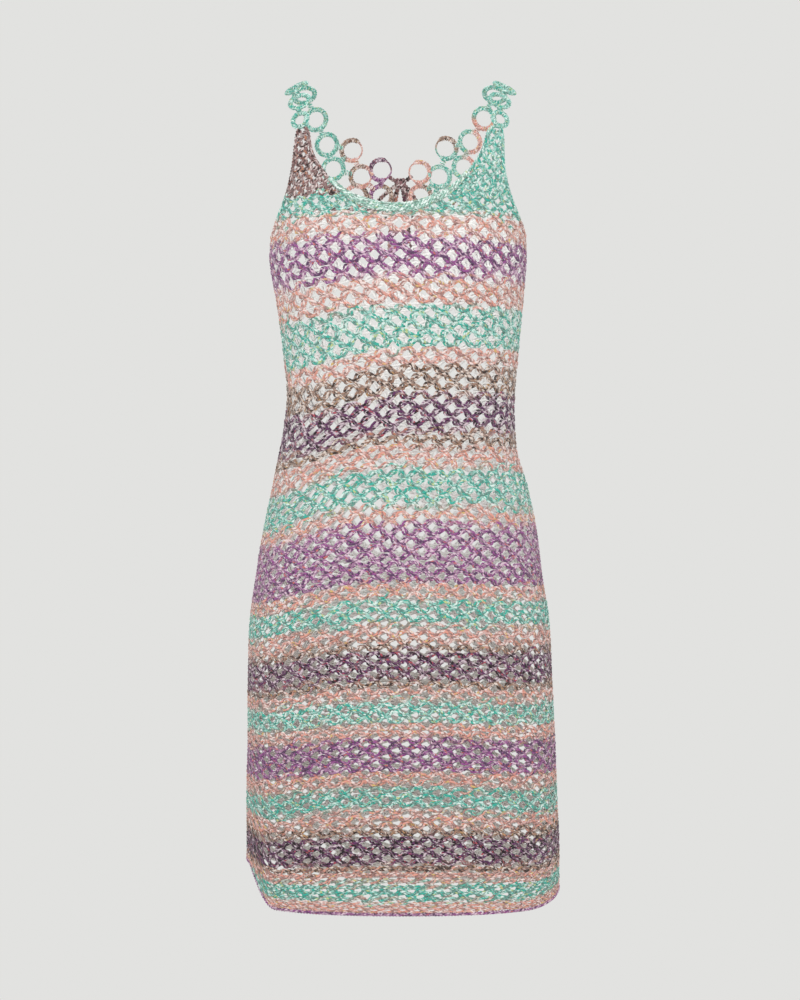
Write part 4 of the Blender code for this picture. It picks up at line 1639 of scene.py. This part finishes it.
    def join(self, yarn: Yarn, start: Points, end: Points, dye: np.ndarray) -> None:
        """Adds a few turns of yarn round the place where two rings touch.

        Args:
            yarn: Where the turns go.
            start: The place on the one ring.
            end: The place on the other.
            dye: Dye weights of the yarn.
        """
        axis = Vector(end - start)
        if axis.length < self.join_least:
            return
        length = axis.length + self.join_over
        axis.normalize()
        first = axis.orthogonal().normalized()
        second = axis.cross(first)
        turn = np.linspace(0, 1, self.join_points)
        winding = turn * 2 * math.pi * self.join_turns
        bulge = self.join_waist + self.join_bulge * np.sin(math.pi * turn)
        middle = (start + end) / 2
        side = np.cos(winding)[:, None] * np.array(first) + np.sin(winding)[:, None] * np.array(second)
        line = middle + (turn - 0.5)[:, None] * np.array(axis) * length + side * bulge[:, None]
        yarn.tube(line, side, self.join_radius, dye)

    def build(self, material: bpy.types.Material) -> None:
        """Makes all rings of the shoulder and their joins, as one piece.

        Args:
            material: The rings' yarn.
        """
        word = "left" if self.side < 0 else "right"
        yarn = Yarn(f"ring_lace_{word}")
        middles = []
        for ring in RINGS:
            matrix = self.place(ring)
            self.wrap(yarn, ring, matrix)
            angle, flat = self.circle(self.places_compared)
            line = flat * self.radius * ring.size @ np.array(matrix.to_3x3()).T + np.array(matrix.translation)
            middles.append((line, self.dye_round(ring, angle)))
        for i, (line_a, dye_a) in enumerate(middles):
            for line_b, _ in middles[i + 1 :]:
                gaps = np.linalg.norm(line_a[:, None] - line_b[None], axis=2)
                a, b = np.unravel_index(gaps.argmin(), gaps.shape)
                if gaps[a, b] < 2 * self.tube + self.join_reach:
                    self.join(yarn, line_a[a], line_b[b], dye_a[a])
        dress_piece(yarn.make(), material, "ring_yarn", f"ring_strap_{word}")


@dataclass(frozen=True)
class Strand:
    """A stretch of the tie, as steps from the knot."""

    name: str
    dyes: tuple[Dye, ...]
    route: tuple[tuple[float, float, float], ...]


@dataclass
class BackTie:
    """The tie at the middle of the back: its knot, bow loops and two free ends."""

    hub: tuple[float, float, float] = (0.0004, 0.0640, -0.0895)
    radius: float = 2.6 * MM
    flatten: float = 0.62
    pitch: float = 7.0 * MM
    step: float = 0.9 * MM
    knot_points: int = 40
    knot_turns: float = 2.6
    knot_drop: float = 1.5 * MM  # how far below the hub the knot's middle lies
    knot_width: float = 8.5 * MM
    knot_coil: tuple[float, float] = (3.0 * MM, 4.4 * MM)  # how far its turns reach, in depth and in height
    knot_strand: float = 2.1 * MM
    strands: tuple[Strand, ...] = (
        Strand(
            "to_left_ring",
            (Dye.BROWN, Dye.AUBERGINE),
            ((0, 0, 0), (-0.0070, -0.0017, 0.0022), (-0.0129, -0.0056, 0.0062)),
        ),
        Strand(
            "to_right_ring",
            (Dye.BROWN, Dye.AUBERGINE),
            ((0, 0, 0), (0.0065, -0.0016, 0.0020), (0.0122, -0.0052, 0.0060)),
        ),
        Strand(
            "left_loop",
            (Dye.BROWN, Dye.BROWN, Dye.AUBERGINE),
            (
                (0, 0.0010, 0),
                (-0.0115, 0.0035, -0.0080),
                (-0.0235, 0.0065, -0.0190),
                (-0.0290, 0.0105, -0.0320),
                (-0.0210, 0.0130, -0.0400),
                (-0.0130, 0.0105, -0.0290),
                (-0.0055, 0.0060, -0.0125),
                (0, 0.0010, 0),
            ),
        ),
        Strand(
            "right_loop",
            (Dye.BROWN, Dye.AUBERGINE),
            (
                (0, 0.0010, 0),
                (0.0060, 0.0045, -0.0100),
                (0.0100, 0.0080, -0.0240),
                (0.0150, 0.0125, -0.0370),
                (0.0205, 0.0120, -0.0360),
                (0.0175, 0.0085, -0.0210),
                (0.0100, 0.0045, -0.0080),
                (0, 0.0010, 0),
            ),
        ),
    )
    ends: tuple[Strand, ...] = (
        Strand(
            "tie_end_left",
            (Dye.PEACH,),
            (
                (-0.0025, 0.0068, -0.0030),
                (-0.0035, 0.0108, -0.0090),
                (-0.0052, 0.0138, -0.0180),
                (-0.0078, 0.0165, -0.0300),
                (-0.0103, 0.0180, -0.0450),
                (-0.0115, 0.0198, -0.0600),
                (-0.0120, 0.0220, -0.0740),
            ),
        ),
        Strand(
            "tie_end_right",
            (Dye.BROWN, Dye.AUBERGINE, Dye.AUBERGINE),
            (
                (0.0025, 0.0068, -0.0030),
                (0.0032, 0.0108, -0.0090),
                (0.0048, 0.0138, -0.0180),
                (0.0066, 0.0168, -0.0300),
                (0.0082, 0.0182, -0.0450),
                (0.0108, 0.0200, -0.0600),
                (0.0146, 0.0222, -0.0760),
                (0.0176, 0.0238, -0.0880),
            ),
        ),
    )

    def line(self, strand: Strand) -> tuple[Points, Points]:
        """Works out how a strand runs.

        Args:
            strand: The strand.

        Returns:
            Its middle line, and a direction across it that turns with its twist.
        """
        points = smooth_line(np.array(strand.route) + np.array(self.hub), self.step)
        tangent = unit(np.gradient(points, axis=0))
        flat = unit(np.cross(tangent, [0.0, 1.0, 0.0]))
        up = np.cross(flat, tangent)
        turn = 2 * math.pi * walked(points)[:, None] / self.pitch
        return points, flat * np.cos(turn) + up * np.sin(turn)

    def plied(self, yarn: Yarn, strand: Strand) -> Points:
        """Adds one plied cord: a tube wider one way than the other, which turns along its length.

        Args:
            yarn: Where the cord goes.
            strand: The strand that it follows.

        Returns:
            The cord's middle line.
        """
        points, across = self.line(strand)
        yarn.tube(points, across, self.radius, blended(*strand.dyes), flatten=self.flatten)
        return points

    def build(self, material: bpy.types.Material) -> None:
        """Makes the knot with its loops, then each free end as a cord.

        Args:
            material: The tie's yarn.
        """
        yarn = Yarn("back_tie_bow", sides=8)
        for strand in self.strands:
            self.plied(yarn, strand)
        self.knot(yarn)
        dress_piece(yarn.make(), material, "brown_yarn", "back_tie")
        for strand in self.ends:
            yarn = Yarn(f"{strand.name}_cord", sides=8)
            points = self.plied(yarn, strand)
            piece = yarn.make()
            dress_piece(piece, material, "brown_yarn", strand.name)

    def knot(self, yarn: Yarn) -> None:
        """Adds the knot, as turns of the tie round its middle.

        Args:
            yarn: Where the turns go.
        """
        turn = np.linspace(0, 1, self.knot_points)
        winding = turn * 2 * math.pi * self.knot_turns
        side = np.stack([np.zeros_like(turn), np.cos(winding), np.sin(winding)], axis=1)
        line = np.array(self.hub) - [0, 0, self.knot_drop] + side * np.array([0, *self.knot_coil])
        line[:, 0] += (turn - 0.5) * self.knot_width
        yarn.tube(line, side, self.knot_strand, blended(Dye.BROWN, Dye.AUBERGINE))


# ----------------------------------------------------------------------------------------------- the stage


@dataclass(frozen=True)
class Lamp:
    """A large square soft lamp that faces the dress."""

    name: str
    place: tuple[float, float, float]
    size: float
    power: float


@dataclass(frozen=True)
class InnerLamp:
    """A small soft lamp inside the dress, unseen itself, that keeps the openings pale."""

    level: float
    power: float


LAMPS = (
    Lamp("key", (-1.3, -2.0, 0.9), 1.6, 22.0),
    Lamp("fill", (1.5, -1.9, 0.2), 1.8, 14.0),
    Lamp("rim", (0.2, 2.0, 1.0), 1.6, 12.0),
)
INNER_LAMPS = (
    InnerLamp(-0.20, 0.06),
    InnerLamp(-0.31, 0.05),
    InnerLamp(-0.43, 0.035),
    InnerLamp(-0.56, 0.015),
)


@dataclass
class Studio:
    """Camera, soft light and a plain pale floor."""

    distance: float = 2.2
    eye_level: float = -0.431
    focal_pixels: float = 2105.0
    image_height: float = 1000.0
    sensor: float = 36.0
    backdrop: Colour = (0.76, 0.76, 0.745)
    world_strength: float = 1.0
    floor_level: float = -1.35
    floor_radius: float = 1.2
    floor_corners: int = 96
    floor_roughness: float = 0.9
    inner_size: float = 0.04

    def build(self) -> None:
        """Sets up the world, the lights, the floor and the camera."""
        scene = bpy.context.scene
        scene.view_settings.view_transform = "Standard"
        world = bpy.data.worlds.new("pale studio")
        world.use_nodes = True
        background = world.node_tree.nodes["Background"]
        background.inputs["Color"].default_value = (*self.backdrop, 1.0)
        background.inputs["Strength"].default_value = self.world_strength
        scene.world = world
        for lamp in LAMPS:
            self.hang(lamp)
        for inner in INNER_LAMPS:
            self.hang_inside(inner)
        bpy.ops.mesh.primitive_circle_add(
            vertices=self.floor_corners,
            radius=self.floor_radius,
            fill_type="NGON",
            location=(0, 0, self.floor_level),
        )
        floor = bpy.context.object
        floor.name = "floor"
        material = bpy.data.materials.new("pale floor")
        material.use_nodes = True
        shader = material.node_tree.nodes["Principled BSDF"]
        shader.inputs["Base Color"].default_value = (*self.backdrop, 1.0)
        shader.inputs["Roughness"].default_value = self.floor_roughness
        floor.data.materials.append(material)
        camera = bpy.data.cameras.new("camera")
        camera.sensor_fit = "VERTICAL"
        camera.sensor_height = self.sensor
        camera.lens = self.sensor * self.focal_pixels / self.image_height
        eye = bpy.data.objects.new("camera", camera)
        eye.location = (0.0, -self.distance, self.eye_level)
        eye.rotation_euler = (math.pi / 2, 0.0, 0.0)
        scene.collection.objects.link(eye)
        scene.camera = eye

    def hang_inside(self, inner: InnerLamp) -> None:
        """Puts up a small lamp inside the dress.

        Args:
            inner: The lamp.
        """
        light = bpy.data.lights.new("inner", "POINT")
        light.shadow_soft_size, light.energy = self.inner_size, inner.power
        placed = bpy.data.objects.new("inner", light)
        placed.location = (0.0, 0.0, inner.level)
        placed.visible_camera = False
        bpy.context.scene.collection.objects.link(placed)

    def hang(self, lamp: Lamp) -> None:
        """Puts up a large lamp and turns it to the dress.

        Args:
            lamp: The lamp.
        """
        light = bpy.data.lights.new(lamp.name, "AREA")
        light.size, light.energy = lamp.size, lamp.power
        placed = bpy.data.objects.new(lamp.name, light)
        placed.location = lamp.place
        aim = Vector((0.0, 0.0, self.eye_level)) - Vector(lamp.place)
        placed.rotation_euler = aim.to_track_quat("-Z", "Y").to_euler()
        bpy.context.scene.collection.objects.link(placed)


def main() -> None:
    """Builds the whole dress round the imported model."""
    logging.basicConfig(level=logging.INFO, format="%(name)s: %(message)s")
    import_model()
    kit = ShaderKit()
    net = YarnFinish("space-dyed net yarn").material(kit)
    teal = YarnFinish("teal trim yarn", flecks_per_metre=200.0, brighten=1.2).material(kit)
    purple = YarnFinish("purple hem yarn", flecks_per_metre=200.0).material(kit)
    rings = YarnFinish("ring yarn", flecks_per_metre=240.0, brighten=1.12).material(kit)
    brown = YarnFinish("brown tie yarn", flecks_per_metre=240.0).material(kit)
    form = DressForm()
    BackTie().build(brown)
    NetPanel(form, Side.FRONT, "front_panel", ZONES_FRONT, seed=11).build(net)
    NetPanel(form, Side.BACK, "back_panel", ZONES_BACK, seed=23, stripe_shift=-12 * MM).build(net)
    edges = EdgeRopes(form)
    edges.neckline(teal)
    edges.top_edges(net)
    edges.seams(net)
    edges.hems(purple)
    for side in (-1, 1):
        RingLace(side).build(rings)
    Studio().build()
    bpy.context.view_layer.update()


if __name__ == "__main__":
    main()
